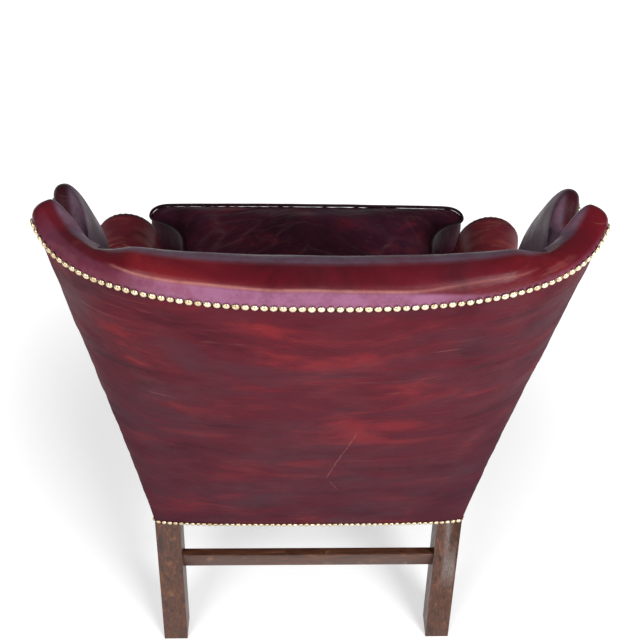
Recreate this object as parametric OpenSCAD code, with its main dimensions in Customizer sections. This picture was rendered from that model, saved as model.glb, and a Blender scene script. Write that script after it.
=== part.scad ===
// Leather wing chair with a horseshoe back, scroll arms, T cushion and close nailing.
// Millimetres, +Z up, the sitter faces -Y, the floor is z = 0. Left is the sitter's left, +X.

/* [Seat frame] */
// Height of the underside of the seat rails above the floor
rail_z = 278; // [240:1:320]
// Height of a seat rail board
rail_h = 70; // [55:1:85]
// Thickness of a seat rail board
rail_t = 25; // [20:0.5:30]
// Rear face of the back at the seat rail
foot_y = 238.5; // [228.5:0.5:248.5]
// Front face of the leather on the front rail
border_y = -383.5; // [-393.5:0.5:-373.5]
// Width added on each side, per length forward, at the seat rails
foot_flare = 0.092; // [0.08:0.002:0.1]
// Thickness of leather and lining over a board
skin_t = 4; // [3:0.25:5]

/* [Back] */
// Height of the row of nails round the top
nail_z = 1014; // [980:1:1040]
// Width of the back across the nails round the top
top_w = 696; // [670:1:720]
// Narrowing of the back on each side, from the top nails down to the seat rail
foot_in = 68; // [60:1:76]
// Lean of the back from upright, in degrees
back_rake = 13.6; // [11:0.1:15]
// Depth of the rounded corner at the top nails
top_corner = 205; // [180:1:225]
// Depth of the rounded corner at the seat rail
foot_corner = 10; // [8:0.5:14]
// Squareness of the rounded corner
corner_pow = 2.5; // [2.3:0.05:2.8]
// Height of the rolled crest above the nails
crest_rise = 32; // [26:0.5:40]
// Distance of the crest's ridge from the nails, front to back
crest_in = 40; // [36:0.5:46]
// Thickness of the padded back behind the head
head_t = 74; // [68:0.5:84]
// Thickness of the padded back behind the waist
waist_t = 122; // [112:0.5:132]

/* [Wings] */
// Height of the hump at each back corner above the nails
hump_rise = 30; // [22:0.5:36]
// Reach of a wing forward from the notch, measured round the corner
wing_reach = 330; // [300:1:350]
// Thickness of a wing at its rolled edge
wing_t = 44; // [42:0.5:48]
// Thickness of a wing where it meets the back
wing_root_t = 52; // [51:0.5:54]

/* [Arms] */
// Height of the arm scroll's top at the front
arm_z = 618; // [600:1:630]
// Front end of the arm pad
arm_y = -226.5; // [-236.5:0.5:-216.5]
// Distance of the scroll's top in from the arm's outer face at the front
arm_in = 24.5; // [19:0.5:30]
// Outer reach of the scroll from its top at the front
scroll_out = 61; // [52:0.5:66]
// Inner reach of the scroll from its top at the front
scroll_in = 60; // [54:0.5:64]
// Height of the scroll above its centre at the front
scroll_h = 63; // [55:0.5:68]
// Width added on each side, per length forward, at the arms
arm_flare = 0.158; // [0.145:0.001:0.165]
// Thickness of the arm at the seat, from its outer face
arm_wall_t = 75.5; // [70:0.5:80]

/* [Legs] */
// Side of the square rear leg
rear_leg_t = 40; // [34:0.5:44]
// Slant of the rear leg below the seat, in degrees
leg_rake = 18; // [14:0.5:20]
// Side of the square front leg
front_leg_t = 45; // [38:0.5:50]
// Height of a stretcher bar
bar_h = 38; // [28:0.5:44]
// Thickness of a stretcher bar
bar_t = 16; // [14:0.5:22]
// Height of the top of the rear stretcher
rear_bar_z = 200; // [185:1:215]
// Drop from the underside of the rear stretcher to the top of the side stretchers
side_bar_drop = 4; // [2:0.5:20]

/* [Cushion] */
// Height of the seat deck that carries the cushion, above the seat rails
deck_rise = 40; // [30:0.5:48]
// Height of the cushion's side band between its welts
band_h = 98; // [85:1:105]
// Swell of the cushion above its upper welt
crown_h = 24; // [14:0.5:28]
// Front edge of the cushion at the welt
cushion_y = -409.5; // [-415.5:0.5:-401.5]
// Distance of the cushion's ears in from the chair's outer face at the front
ear_in = 32; // [28:0.5:38]
// Gap between the cushion and each arm
cushion_gap = 16; // [12:0.5:20]
// Radius of the cushion's hollow corner in front of the arm
ear_r = 84; // [76:1:88]
// Radius of the welt cord
welt_r = 3.2; // [2.4:0.1:3.8]

/* [Nails] */
// Distance from nail to nail
nail_pitch = 10.3; // [9.5:0.1:14]
// Diameter of a nail head
nail_d = 9; // [8:0.1:9.4]
// Height of a nail head's dome
nail_h = 2.6; // [2:0.1:3.2]

/* [Hidden] */

// Gap between pieces that lie against each other
fit = 0.3;
// Reach of a cut past the wood it cuts
over = 1;
// Fabric sheet thickness
cloth_t = 1.2;
// Thickness of the boards in the back, arms and wings
board_t = 24;
// Outer face of those boards, in from the leather's outer face
board_gap = 1;
board_in = skin_t + board_gap;
// Room left between curved layers that meet along different chords
slack = 1.2;
// Front faces of the back's webbing, sacking and padding, in from the leather's outer face
strap_in = board_in + board_t + 3 * fit;
hessian_in = strap_in + cloth_t + slack;
pad_in = hessian_in + cloth_t + slack;
// Rear face of the arm and wing padding, in from the leather's outer face
side_pad_in = board_in + board_t + 2 * slack;

foot_w = top_w - 2 * foot_in;
deck_z = rail_z + rail_h + deck_rise;

// Rounded corner of the back: how far the wing's own depth runs round it
corner_run = 160;
// The back padding's sides draw in by this much at the notch under the wing's hump
notch_draw = 38;
// Height over which it draws in
draw_run = 134;
draw_z = nail_z - draw_run;
// Gap in the crease between back and wing padding
crease_gap = 3;
// The back padding's face comes forward by this much at its sides
back_dish = 14;
// Front lip of the crest below the nails
crest_lip = 14;
// Share of the crest's rise and of its depth that is left at the notch
notch_rise_share = 0.5;
notch_in_share = 0.8;

// Wood colours
walnut = [0.24, 0.13, 0.08];
beech = [0.72, 0.55, 0.36];
leather = [0.36, 0.08, 0.11];
dark_leather = [0.27, 0.06, 0.09];
brass = [0.78, 0.66, 0.42];
steel = [0.6, 0.6, 0.62];
jute = [0.68, 0.58, 0.42];
black_cloth = [0.08, 0.08, 0.09];

function lerp(a, b, t) = a + (b - a) * t;
function clamp(v, lo, hi) = max(lo, min(hi, v));
function ease(t) = let (c = clamp(t, 0, 1)) c * c * (3 - 2 * c);
function flatten(rows) = [for (row = rows) for (p = row) p];
function unit(v) = v / norm(v);

// Smooth curve through a list of points, t from 0 to 1
function through(p, t) = let (
    n = len(p) - 1,
    u = clamp(t, 0, 1) * n,
    i = min(floor(u), n - 1),
    f = u - i,
    a = p[max(i - 1, 0)],
    b = p[i],
    c = p[i + 1],
    d = p[min(i + 2, n)]
) (2 * b + (c - a) * f + (2 * a - 5 * b + 4 * c - d) * f * f
    + (3 * b - a - 3 * c + d) * f * f * f) / 2;

// The leather's outer face, as a horseshoe in plan at each height
function rise_of(z) = (z - rail_z) / (nail_z - rail_z);
function half_w(z) = lerp(foot_w, top_w, rise_of(z)) / 2;
function corner_d(z) = max(foot_corner, lerp(foot_corner, top_corner, rise_of(z)));
function back_y(z) = foot_y + (z - rail_z) * tan(back_rake);
function corner_y(z) = back_y(z) - corner_d(z);
function flare(z) = lerp(foot_flare, arm_flare,
    clamp((z - rail_z) / (arm_z - scroll_h - rail_z), 0, 1));
function side_x(y, z) = half_w(z) + flare(z) * max(corner_y(z) - y, 0);
function shell_y(x, z) = back_y(z) - corner_d(z)
    * (1 - pow(1 - pow(min(abs(x) / half_w(z), 1), corner_pow), 1 / corner_pow));
function side_pt(y, z, in) = [side_x(y, z) - in, y, z];
function corner_pt(a, z, in) = let (
    w = half_w(z) - in,
    d = max(corner_d(z) - in, foot_corner / 2)
) [w * pow(sin(a), 2 / corner_pow), back_y(z) - in - d * (1 - pow(cos(a), 2 / corner_pow)), z];

// Half the width of the back's padding
function pad_x(z) = half_w(z) - wing_root_t - crease_gap
    - notch_draw * pow(clamp((z - draw_z) / (nail_z - draw_z), 0, 1), 2);

// A point of the wing: run g forward from the notch, height z, depth in from the outer face
function start_angle(z, in) = asin(pow(min(1, (pad_x(z) + crease_gap / 2) / (half_w(z) - in)),
    corner_pow / 2));
function wing_pt(g, z, in) = g < corner_run
    ? corner_pt(lerp(start_angle(z, in), 90, g / corner_run), z, in)
    : side_pt(corner_y(z) - (g - corner_run), z, in);

// Outline of the wing's rolled edge, from the notch over the hump, the dip and the front lobe
// and down to the arm: shares of the wing's reach and of its height over the arm
wing_shares = [[0, 0.958], [0.2, 0.963], [0.332, 0.996], [0.418, 0.91], [0.48, 0.788],
    [0.56, 0.783], [0.665, 0.833], [0.77, 0.78], [0.885, 0.654], [0.972, 0.535],
    [1, 0.416], [0.985, 0.277], [0.96, 0.139], [0.965, -0.06]];
// Heights where lines drawn in from that outline meet the crease at the back
crease_shares = [0.905, 0.88, 0.86, 0.8, 0.73, 0.66, 0.59, 0.51, 0.43, 0.34,
    0.25, 0.15, 0.05, -0.06];
// The wing's nails below that outline: shares of the reach and of the nails' height over the arm
nail_shares = [[0, 1], [0.195, 1.01], [0.311, 1.028], [0.362, 0.95], [0.442, 0.783],
    [0.578, 0.7776], [0.661, 0.8357], [0.715, 0.7927], [0.818, 0.669], [0.894, 0.555],
    [0.918, 0.4516], [0.903, 0.3075], [0.879, 0.156], [0.883, -0.0637]];
wing_foot_z = arm_z + fit;
function wing_z(share) = lerp(wing_foot_z, nail_z + hump_rise, share);
function ridge(s) = let (q = through(wing_shares, s)) [q.x * wing_reach, wing_z(q.y)];
function nail_line(s) = let (q = through(nail_shares, s))
    [q.x * wing_reach, lerp(wing_foot_z, nail_z, q.y)];
function ridge_in(s) = unit(nail_line(s) - ridge(s));
function drop_at(s) = norm(nail_line(s) - ridge(s));
function crease(s) = [0, wing_z(through(crease_shares, s))];

line_steps = 56;
nail_table = [for (k = [0:line_steps]) let (q = nail_line(k / line_steps)) [q.x, q.y]];
share_table = [for (k = [0:line_steps]) let (q = nail_line(k / line_steps)) [q.x, k / line_steps]];
// Only the stretch up to the front lobe is one height per run
rising = [for (k = [0:line_steps]) if (k == 0 || nail_table[k].x > max([for (j = [0:k - 1])
    nail_table[j].x])) k];
nail_by_run = [for (k = rising) nail_table[k]];
share_by_run = [for (k = rising) share_table[k]];
function nail_z_at(g) = lookup(g, nail_by_run);
seam_share = lookup(corner_run, share_by_run);

// Arm scroll along y: front, then its rear end beside the back
arm_end_gap = 18;
arm_end_y = corner_y(arm_z) - arm_end_gap;
arm_x = side_x(arm_y, arm_z - scroll_h) - arm_in;
arm_gap_x = side_x(arm_y, deck_z) - arm_wall_t;
rear_out = 26;
rear_in = 30;
rear_h = 40;
rear_overhang = 6;
arm_drop = 3;
rear_wall_t = 44;
rear_gap_x = side_x(arm_end_y, deck_z) - rear_wall_t;
under_drop = 28;
function arm_f(y) = clamp((y - arm_y) / (arm_end_y - arm_y), 0, 1);
function scroll_cz(y) = lerp(arm_z - scroll_h, arm_z - arm_drop - rear_h, arm_f(y));
function under_z(y) = scroll_cz(y) - under_drop;
rear_arm_x = side_x(arm_end_y, arm_z - scroll_h) + rear_overhang - rear_out;
arc_angles = [180, 155, 130, 108, 88, 66, 44, 22, 0, -24];
function arm_outline(y, back, grow) = let (
    f = arm_f(y),
    cx = lerp(arm_x, rear_arm_x, f),
    cz = scroll_cz(y),
    h = lerp(scroll_h, rear_h, f) + grow,
    wide_out = lerp(scroll_out, rear_out, f) + grow,
    wide_in = lerp(scroll_in, rear_in, f) + grow,
    foot_x = lerp(arm_gap_x, rear_gap_x, f) - grow,
    foot_z = deck_z + fit
) concat(
    [[foot_x, foot_z], [lerp(foot_x, cx - wide_in, 0.3), lerp(foot_z, cz, 0.5)]],
    [for (a = arc_angles) [cx + (a > 90 ? wide_in : wide_out) * cos(a), cz + h * sin(a)]],
    [[side_x(y, under_z(y)), under_z(y)], [side_x(y, under_z(y)) - back, under_z(y)],
        [side_x(y, foot_z) - back, foot_z]]
);
// Where the wing's front edge comes down on the arm
wing_front_y = corner_y(arm_z) - (wing_reach * 0.965 - corner_run);

// A closed skin between a grid of points and the grid behind it
module slab(front, behind) {
    n = len(front);
    m = len(front[0]);
    k = n * m;
    faces = concat(
        [for (i = [0:n - 2]) for (j = [0:m - 2])
            [i * m + j, (i + 1) * m + j + 1, i * m + j + 1]],
        [for (i = [0:n - 2]) for (j = [0:m - 2])
            [i * m + j, (i + 1) * m + j, (i + 1) * m + j + 1]],
        [for (i = [0:n - 2]) for (j = [0:m - 2])
            [k + i * m + j, k + i * m + j + 1, k + (i + 1) * m + j + 1]],
        [for (i = [0:n - 2]) for (j = [0:m - 2])
            [k + i * m + j, k + (i + 1) * m + j + 1, k + (i + 1) * m + j]],
        [for (j = [0:m - 2]) [j, j + 1, k + j + 1]],
        [for (j = [0:m - 2]) [j, k + j + 1, k + j]],
        [for (j = [0:m - 2]) let (b = (n - 1) * m) [b + j, k + b + j + 1, b + j + 1]],
        [for (j = [0:m - 2]) let (b = (n - 1) * m) [b + j, k + b + j, k + b + j + 1]],
        [for (i = [0:n - 2]) [i * m, k + (i + 1) * m, (i + 1) * m]],
        [for (i = [0:n - 2]) [i * m, k + i * m, k + (i + 1) * m]],
        [for (i = [0:n - 2]) let (e = m - 1) [i * m + e, (i + 1) * m + e, k + (i + 1) * m + e]],
        [for (i = [0:n - 2]) let (e = m - 1) [i * m + e, k + (i + 1) * m + e, k + i * m + e]]
    );
    polyhedron(points = concat(flatten(front), flatten(behind)), faces = faces);
}

// A closed skin over rings of points that share their count, with flat end caps
module loft(rings) {
    n = len(rings);
    m = len(rings[0]);
    sides = [for (i = [0:n - 2]) for (j = [0:m - 1]) let (
        a = i * m + j, b = i * m + (j + 1) % m, c = a + m, d = b + m) each [[a, d, b], [a, c, d]]];
    polyhedron(points = flatten(rings), faces = concat(sides,
        [[for (j = [0:m - 1]) j]], [[for (j = [m - 1:-1:0]) (n - 1) * m + j]]));
}

// A tube round a closed path that lies level
module ring_cord(path, r, sides) {
    n = len(path);
    rings = [for (i = [0:n - 1]) let (
        t = unit(path[(i + 1) % n] - path[(i + n - 1) % n]),
        out = [t.y, -t.x, 0]
    ) [for (k = [0:sides - 1]) let (b = 360 * k / sides)
        path[i] + r * (cos(b) * out + sin(b) * [0, 0, 1])]];
    faces = [for (i = [0:n - 1]) for (k = [0:sides - 1]) let (
        a = i * sides + k, b = i * sides + (k + 1) % sides,
        c = ((i + 1) % n) * sides + k, d = ((i + 1) % n) * sides + (k + 1) % sides
    ) each [[a, b, d], [a, d, c]]];
    polyhedron(points = flatten(rings), faces = faces);
}

module mirrored(right) {
    if (right) mirror([1, 0, 0]) children();
    else children();
}

// A board that follows the side's leather from inside
module side_board(y0, y1, z0, z1) {
    slab([[side_pt(y0, z0, board_in), side_pt(y1, z0, board_in)],
            [side_pt(y0, z1, board_in), side_pt(y1, z1, board_in)]],
        [[side_pt(y0, z0, board_in + board_t), side_pt(y1, z0, board_in + board_t)],
            [side_pt(y0, z1, board_in + board_t), side_pt(y1, z1, board_in + board_t)]]);
}

// Points at one pitch along a path of [point, outward normal] pairs, from half a pitch in
function cumulative(p) = [for (i = 0, d = 0; i < len(p);
    d = d + (i + 1 < len(p) ? norm(p[i + 1][0] - p[i][0]) : 0), i = i + 1) d];
function at_length(p, run, d, which) = [for (axis = [0:2])
    lookup(d, [for (i = [0:len(p) - 1]) [run[i], p[i][which][axis]]])];
module nail_row(path) {
    run = cumulative(path);
    count = floor(run[len(run) - 1] / nail_pitch);
    for (k = [0:count - 1]) {
        d = (k + 0.5) * nail_pitch;
        n = unit(at_length(path, run, d, 1));
        translate(at_length(path, run, d, 0) + nail_lift * n)
            rotate([0, acos(n.z), atan2(n.y, n.x)])
            cylinder(h = nail_h, d1 = nail_d, d2 = nail_d * nail_top_share, $fn = 24);
    }
}
nail_top_share = 0.5;
nail_lift = 0.4;
// Height of the lower row of nails above the leather's edge
hem_in = 6;

// Rear legs run up into the back's corner posts
rail_top = rail_z + rail_h;
leg_rear_y = foot_y - board_in - foot_corner * 0.6;
leg_out_x = foot_w / 2 - board_in;
leg_in_x = leg_out_x - rear_leg_t;
// Below the leather the leg comes out under its edge
leg_lap = board_in;
leg_top_z = rail_z - fit;
rake_run = leg_top_z * tan(leg_rake);
housing = 8;
post_back = 40;
post_front_y = foot_y - post_back;
post_t = 30;
post_gap = 1.6;
post_in = board_in + post_gap;
// The post leans so that its top stays this far in front of the rounded corner
post_top_gap = 13;
post_top_y = corner_y(nail_z) - post_top_gap;
function post_y(z) = lerp(post_front_y, post_top_y, (z - rail_top) / (nail_z - rail_top));
post_run = corner_run + post_top_gap;
post_top_z = min([for (t = [0, 0.5, 1]) nail_z_at(post_run - post_t * t)]) - 2 * post_in;
post_lap = 20;
post_x_t = board_t - skin_t;
post_ends = [rail_top - post_lap, post_top_z];
// Corner taken off a leg where leather turns round it
corner_cut = 9;
module corner_chip(x, y) {
    translate([x, y, rail_z + rail_h / 2]) rotate([0, 0, 45])
        cube([corner_cut * sqrt(2), corner_cut * sqrt(2), rail_h + over], center = true);
}
module rear_post() {
    color(walnut) difference() {
        union() {
            translate([leg_in_x, 0, 0]) rotate([90, 0, 90]) linear_extrude(rear_leg_t)
                polygon([[leg_rear_y - rear_leg_t, rail_top], [leg_rear_y, rail_top],
                    [leg_rear_y, leg_top_z], [leg_rear_y + rake_run, 0],
                    [leg_rear_y + rake_run - rear_leg_t, 0],
                    [leg_rear_y - rear_leg_t, leg_top_z]]);
            translate([leg_in_x, 0, 0]) rotate([90, 0, 90]) linear_extrude(rear_leg_t + leg_lap)
                polygon([[leg_rear_y - rear_leg_t, leg_top_z], [leg_rear_y + leg_lap, leg_top_z],
                    [leg_rear_y + leg_lap + rake_run, 0],
                    [leg_rear_y + rake_run - rear_leg_t, 0]]);
            slab([for (z = post_ends) [for (x = [post_x_t, 0])
                    [half_w(z) - post_in - x, post_y(z), z]]],
                [for (z = post_ends) [for (x = [post_x_t, 0])
                    [half_w(z) - post_in - x, post_y(z) + post_t, z]]]);
        }
        corner_chip(leg_out_x, leg_rear_y);
        rear_rail_board(fit);
        side_rail_board(fit);
        rear_bar(fit);
        side_bar(fit);
    }
}

// Front legs stand under the seat's front corners
front_leg_rear_y = border_y + board_in + front_leg_t;
front_leg_x = side_x(front_leg_rear_y, rail_z) - board_in - front_leg_t;
module front_leg() {
    color(walnut) difference() {
        translate([front_leg_x, border_y + board_in, 0])
            cube([front_leg_t, front_leg_t, rail_top]);
        corner_chip(front_leg_x + front_leg_t, border_y + board_in);
        front_rail_board(fit);
        side_rail_board(fit);
        side_bar(fit);
    }
}

// Rail and bar blanks, housed in the legs; g swells one for the housing it cuts
module rear_rail_board(g) {
    translate([-leg_in_x - housing - g, leg_rear_y - rail_t - g, rail_z - g])
        cube([2 * (leg_in_x + housing + g), rail_t + 2 * g, rail_h + 2 * g + over * sign(g)]);
}
module front_rail_board(g) {
    translate([-front_leg_x - housing - g, border_y + board_in - g, rail_z - g])
        cube([2 * (front_leg_x + housing + g), rail_t + 2 * g, rail_h + 2 * g + over * sign(g)]);
}
side_rail_y0 = front_leg_rear_y - housing;
side_rail_y1 = leg_rear_y - rear_leg_t + housing;
module side_rail_board(g) {
    translate([0, 0, rail_z - g]) linear_extrude(rail_h + 2 * g + over * sign(g))
        polygon([[side_x(side_rail_y0, rail_z) - board_in - rail_t - g, side_rail_y0 - g],
            [side_x(side_rail_y0, rail_z) - board_in + g, side_rail_y0 - g],
            [side_x(side_rail_y1, rail_z) - board_in + g, side_rail_y1 + g],
            [side_x(side_rail_y1, rail_z) - board_in - rail_t - g, side_rail_y1 + g]]);
}
// Distance of the rear stretcher's rear face from the leg's rear face at its top
bar_recess = 3;
rear_bar_y = leg_rear_y + leg_lap + (leg_top_z - rear_bar_z) * tan(leg_rake) - bar_recess - bar_t;
module rear_bar(g) {
    translate([-leg_in_x - housing - g, rear_bar_y - g, rear_bar_z - bar_h - g])
        cube([2 * (leg_in_x + housing + g), bar_t + 2 * g, bar_h + 2 * g]);
}
side_bar_z = rear_bar_z - bar_h - side_bar_drop;
side_bar_y1 = leg_rear_y - rear_leg_t + (leg_top_z - side_bar_z + bar_h) * tan(leg_rake) + fit;
side_bar_x1 = leg_in_x + rear_leg_t / 2;
side_bar_y0 = front_leg_rear_y - housing;
side_bar_x0 = front_leg_x + front_leg_t / 2;
module side_bar(g) {
    translate([0, 0, side_bar_z - bar_h - g]) linear_extrude(bar_h + 2 * g)
        polygon([[side_bar_x0 - bar_t / 2 - g, side_bar_y0 - g],
            [side_bar_x0 + bar_t / 2 + g, side_bar_y0 - g],
            [side_bar_x1 + bar_t / 2 + g, side_bar_y1 + g],
            [side_bar_x1 - bar_t / 2 - g, side_bar_y1 + g]]);
}
cross_bar_y = lerp(side_bar_y0, side_bar_y1, 0.48);
cross_bar_x = lerp(side_bar_x0, side_bar_x1, 0.48) - bar_t / 2 + housing / 2;
cross_bar_h = 0.8 * bar_h;
module cross_bar(g) {
    translate([-cross_bar_x - g, cross_bar_y - bar_t / 2 - g, side_bar_z - bar_h / 2 - cross_bar_h / 2 - g])
        cube([2 * (cross_bar_x + g), bar_t + 2 * g, cross_bar_h + 2 * g]);
}
screw_d = 5;
screw_head_d = 9;
screw_head_h = 3;
screw_bite = 14;
screw_z = rail_z + rail_h / 2;
block_h = 45;
block_run = 78;
block_t = 26;
rear_block_y = leg_rear_y - rail_t - fit;
front_block_y = border_y + board_in + rail_t + fit;
rear_screw_x = leg_in_x - block_run / 2;
front_screw_x = front_leg_x - block_run / 2;
module screws(swell) {
    for (side = [-1, 1]) {
        translate([side * rear_screw_x, rear_block_y - block_t, screw_z]) rotate([-90, 0, 0]) {
            cylinder(h = block_t + screw_bite + swell, d = screw_d + 2 * swell, $fn = 24);
            if (swell == 0) translate([0, 0, -screw_head_h])
                cylinder(h = screw_head_h, d = screw_head_d, $fn = 24);
        }
        translate([side * front_screw_x, front_block_y + block_t, screw_z]) rotate([90, 0, 0]) {
            cylinder(h = block_t + screw_bite + swell, d = screw_d + 2 * swell, $fn = 24);
            if (swell == 0) translate([0, 0, -screw_head_h])
                cylinder(h = screw_head_h, d = screw_head_d, $fn = 24);
        }
    }
}
module front_rail() {
    color(beech) difference() {
        front_rail_board(0);
        screws(fit);
    }
}
module rear_rail() {
    color(beech) difference() {
        rear_rail_board(0);
        screws(fit);
    }
}
module side_rail() { color(beech) side_rail_board(0); }
module side_stretcher() {
    color(walnut) difference() {
        side_bar(0);
        cross_bar(fit);
    }
}
module cross_stretcher() { color(walnut) cross_bar(0); }
module rear_stretcher() { color(walnut) rear_bar(0); }

function rail_inner_x(y) = side_x(y, rail_z) - board_in - rail_t - fit;
module corner_block(rail_y, leg_x, leg_y, way) {
    far_y = leg_y - way * block_run;
    polygon([[leg_x - block_run, rail_y], [leg_x - fit, rail_y], [leg_x - fit, leg_y],
        [rail_inner_x(leg_y), leg_y], [rail_inner_x(far_y), far_y],
        [rail_inner_x(far_y) - block_t, far_y],
        [leg_x - block_run / 4, rail_y - way * block_t], [leg_x - block_run, rail_y - way * block_t]]);
}
module corner_blocks() {
    color(beech) difference() {
        for (right = [false, true]) mirrored(right)
            translate([0, 0, screw_z - block_h / 2]) linear_extrude(block_h) {
                corner_block(rear_block_y, leg_in_x, leg_rear_y - rear_leg_t - fit, 1);
                corner_block(front_block_y, front_leg_x, front_leg_rear_y + fit, -1);
            }
        screws(fit);
    }
}
module block_screws() { color(steel) screws(0); }

// Stations across the back that all its layers share, as shares of the padding's half width
half_shares = [0, 0.14, 0.28, 0.42, 0.56, 0.7, 0.84, 0.94, 1];
back_shares = [for (i = [1 - len(half_shares):len(half_shares) - 1]) sign(i) * half_shares[abs(i)]];
// Stations along the wing's outline; the first ones, up to the seam, also stand round the corner
corner_shares = [for (k = [0:13]) lookup(corner_run * k / 13, share_by_run)];
front_shares = [0.38, 0.42, 0.46, 0.5, 0.54, 0.59, 0.65, 0.72, 0.79, 0.86, 0.93, 1];
wing_row_shares = concat(corner_shares, front_shares);
// Rows of points across the back and round both corners at heights that a function gives, as
// far as corner station last
function half_row(z_at, in, last) = concat(
    [for (share = half_shares) let (z = z_at(0), x = pad_x(z) * share) [x, shell_y(x, z) - in, z]],
    [for (k = [1:last]) let (g = nail_line(corner_shares[k]).x) wing_pt(g, z_at(g), in)]
);
function across(half) = concat([for (i = [len(half) - 1:-1:1]) [-half[i].x, half[i].y, half[i].z]],
    half);
function shell_row(z_at, in, last) = across(half_row(z_at, in, last));
function top_z(g) = g == 0 ? nail_z : nail_z_at(g);

crest_rail_h = 50;
crest_rail_drop = 7;
module crest_rail() {
    color(beech) slab([for (t = [0:2]) shell_row(function (g)
            top_z(g) - crest_rail_drop - crest_rail_h * (1 - t / 2), board_in + board_t, 11)],
        [for (t = [0:2]) shell_row(function (g)
            top_z(g) - crest_rail_drop - crest_rail_h * (1 - t / 2), board_in, 11)]);
}
low_rail_rise = 14;
low_rail_z = deck_z + low_rail_rise;
low_rail_h = 40;
module lower_back_rail() {
    color(beech) slab([for (t = [0:1]) shell_row(function (g) low_rail_z + low_rail_h * t,
            board_in + board_t, 9)],
        [for (t = [0:1]) shell_row(function (g) low_rail_z + low_rail_h * t, board_in, 9)]);
}
strap_w = 50;
strap_pitch = 74;
strap_z0 = low_rail_z + low_rail_h / 4;
strap_z1 = nail_z - crest_rail_drop - crest_rail_h / 4;
module back_webbing() {
    color(jute) for (k = [-2.5:1:2.5]) slab(
        [for (t = [0:6]) [for (e = [-0.5, 0, 0.5]) let (x = k * strap_pitch + e * strap_w,
            z = lerp(strap_z0, strap_z1, t / 6)) [x, shell_y(x, z) - strap_in - cloth_t, z]]],
        [for (t = [0:6]) [for (e = [-0.5, 0, 0.5]) let (x = k * strap_pitch + e * strap_w,
            z = lerp(strap_z0, strap_z1, t / 6)) [x, shell_y(x, z) - strap_in, z]]]);
}
function hessian_row(z, in) = [for (i = [1:len(back_shares) - 2]) let (x = pad_x(z) * back_shares[i])
    [x, shell_y(x, z) - in, z]];
module back_hessian() {
    color(jute) slab(
        [for (t = [0:9]) hessian_row(lerp(strap_z0, strap_z1, t / 9), hessian_in + cloth_t)],
        [for (t = [0:9]) hessian_row(lerp(strap_z0, strap_z1, t / 9), hessian_in)]);
}

arm_post_w = 42;
arm_board_in = 3;
arm_board_y = arm_y + arm_board_in;
arm_rail_drop = 128;
arm_rail_z = arm_z - arm_rail_drop;
arm_rail_h = 35;
tacking_h = 28;
module arm_post() {
    color(beech) side_board(arm_board_y, arm_board_y + arm_post_w, rail_top + fit, arm_rail_z - fit);
}
function post_clear_y(z0, z1) = min(post_y(z0), post_y(z1)) - fit;
module arm_rail() {
    z1 = arm_rail_z + arm_rail_h;
    color(beech) side_board(arm_board_y, post_clear_y(arm_rail_z, z1), arm_rail_z, z1);
}
module arm_tacking_rail() {
    color(beech) side_board(arm_board_y + arm_post_w + fit, post_clear_y(deck_z, deck_z + tacking_h),
        deck_z + fit, deck_z + tacking_h);
}
wing_board_w = 34;
wing_board_drop = 5;
wing_rail_start = lookup(post_run + post_in, share_by_run);
wing_rail_end = 0.66;
wing_post_start = 0.664;
function wing_board_row(s, in) = let (a = nail_line(s), n = ridge_in(s),
    p = a + n * wing_board_drop, q = p + n * wing_board_w) [wing_pt(p.x, p.y, in), wing_pt(q.x, q.y, in)];
function wing_foot_row(in) = let (a = nail_line(1), z = arm_rail_z + arm_rail_h + fit)
    [wing_pt(a.x - wing_board_drop, z, in), wing_pt(a.x - wing_board_drop - wing_board_w, z, in)];
function wing_rail_row(t, in) = let (
    s = lerp(wing_rail_start, wing_rail_end, t),
    p = nail_line(s) + ridge_in(s) * wing_board_drop,
    first = nail_line(wing_rail_start),
    last = nail_line(wing_rail_end) + ridge_in(wing_rail_end) * (wing_board_drop + wing_board_w),
    q = lerp([first.x, first.y - wing_board_w], last, t)
) [wing_pt(p.x, p.y, in), wing_pt(q.x, q.y, in)];
module wing_rail() {
    color(beech) slab([for (t = [0:6]) wing_rail_row(t / 6, board_in + board_t)],
        [for (t = [0:6]) wing_rail_row(t / 6, board_in)]);
}
module wing_post() {
    color(beech) slab(concat([for (t = [0:6]) wing_board_row(lerp(wing_post_start, 1, t / 6),
            board_in + board_t)], [wing_foot_row(board_in + board_t)]),
        concat([for (t = [0:6]) wing_board_row(lerp(wing_post_start, 1, t / 6),
            board_in)], [wing_foot_row(board_in)]));
}

// Zigzag springs from the front rail to the rear rail, under clips
wire_t = 3.8;
spring_w = 48;
spring_step = 24;
spring_pitch = 92;
spring_y0 = border_y + board_in + rail_t / 3;
spring_y1 = leg_rear_y - rail_t / 3;
spring_turns = floor((spring_y1 - spring_y0) / spring_step);
spring_zig = (spring_y1 - spring_y0) / spring_turns;
// The wire leaves each clip straight, and is wider along x where it slants
function zig_straight(i) = i < 2 || i > spring_turns - 2;
function zig_x(i) = zig_straight(i) ? 0 : (i % 2 == 0 ? 1 : -1) * spring_w / 2;
function zig_side(i) = wire_t / 2 * (zig_straight(i) ? 1 : norm([1, spring_w / spring_zig]));
module seat_spring() {
    linear_extrude(wire_t) polygon(concat(
        [for (i = [0:spring_turns]) [zig_x(i) + zig_side(i), spring_y0 + i * spring_zig]],
        [for (i = [spring_turns:-1:0]) [zig_x(i) - zig_side(i), spring_y0 + i * spring_zig]]));
}
module seat_springs() {
    color(steel) for (k = [-2:2]) translate([k * spring_pitch, 0, rail_top + fit]) seat_spring();
}
clip_w = 26;
clip_l = 14;
clip_t = 1.5;
module spring_clips() {
    color(steel) for (k = [-2:2]) for (y = [spring_y0, spring_y1])
        translate([k * spring_pitch, y, rail_top + fit]) difference() {
            translate([-clip_w / 2, -clip_l / 2, 0]) cube([clip_w, clip_l, wire_t + clip_t + fit]);
            translate([-clip_w / 2 + clip_t, -clip_l / 2 - over, -over])
                cube([clip_w - 2 * clip_t, clip_l + 2 * over, wire_t + fit + over]);
        }
}

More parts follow.
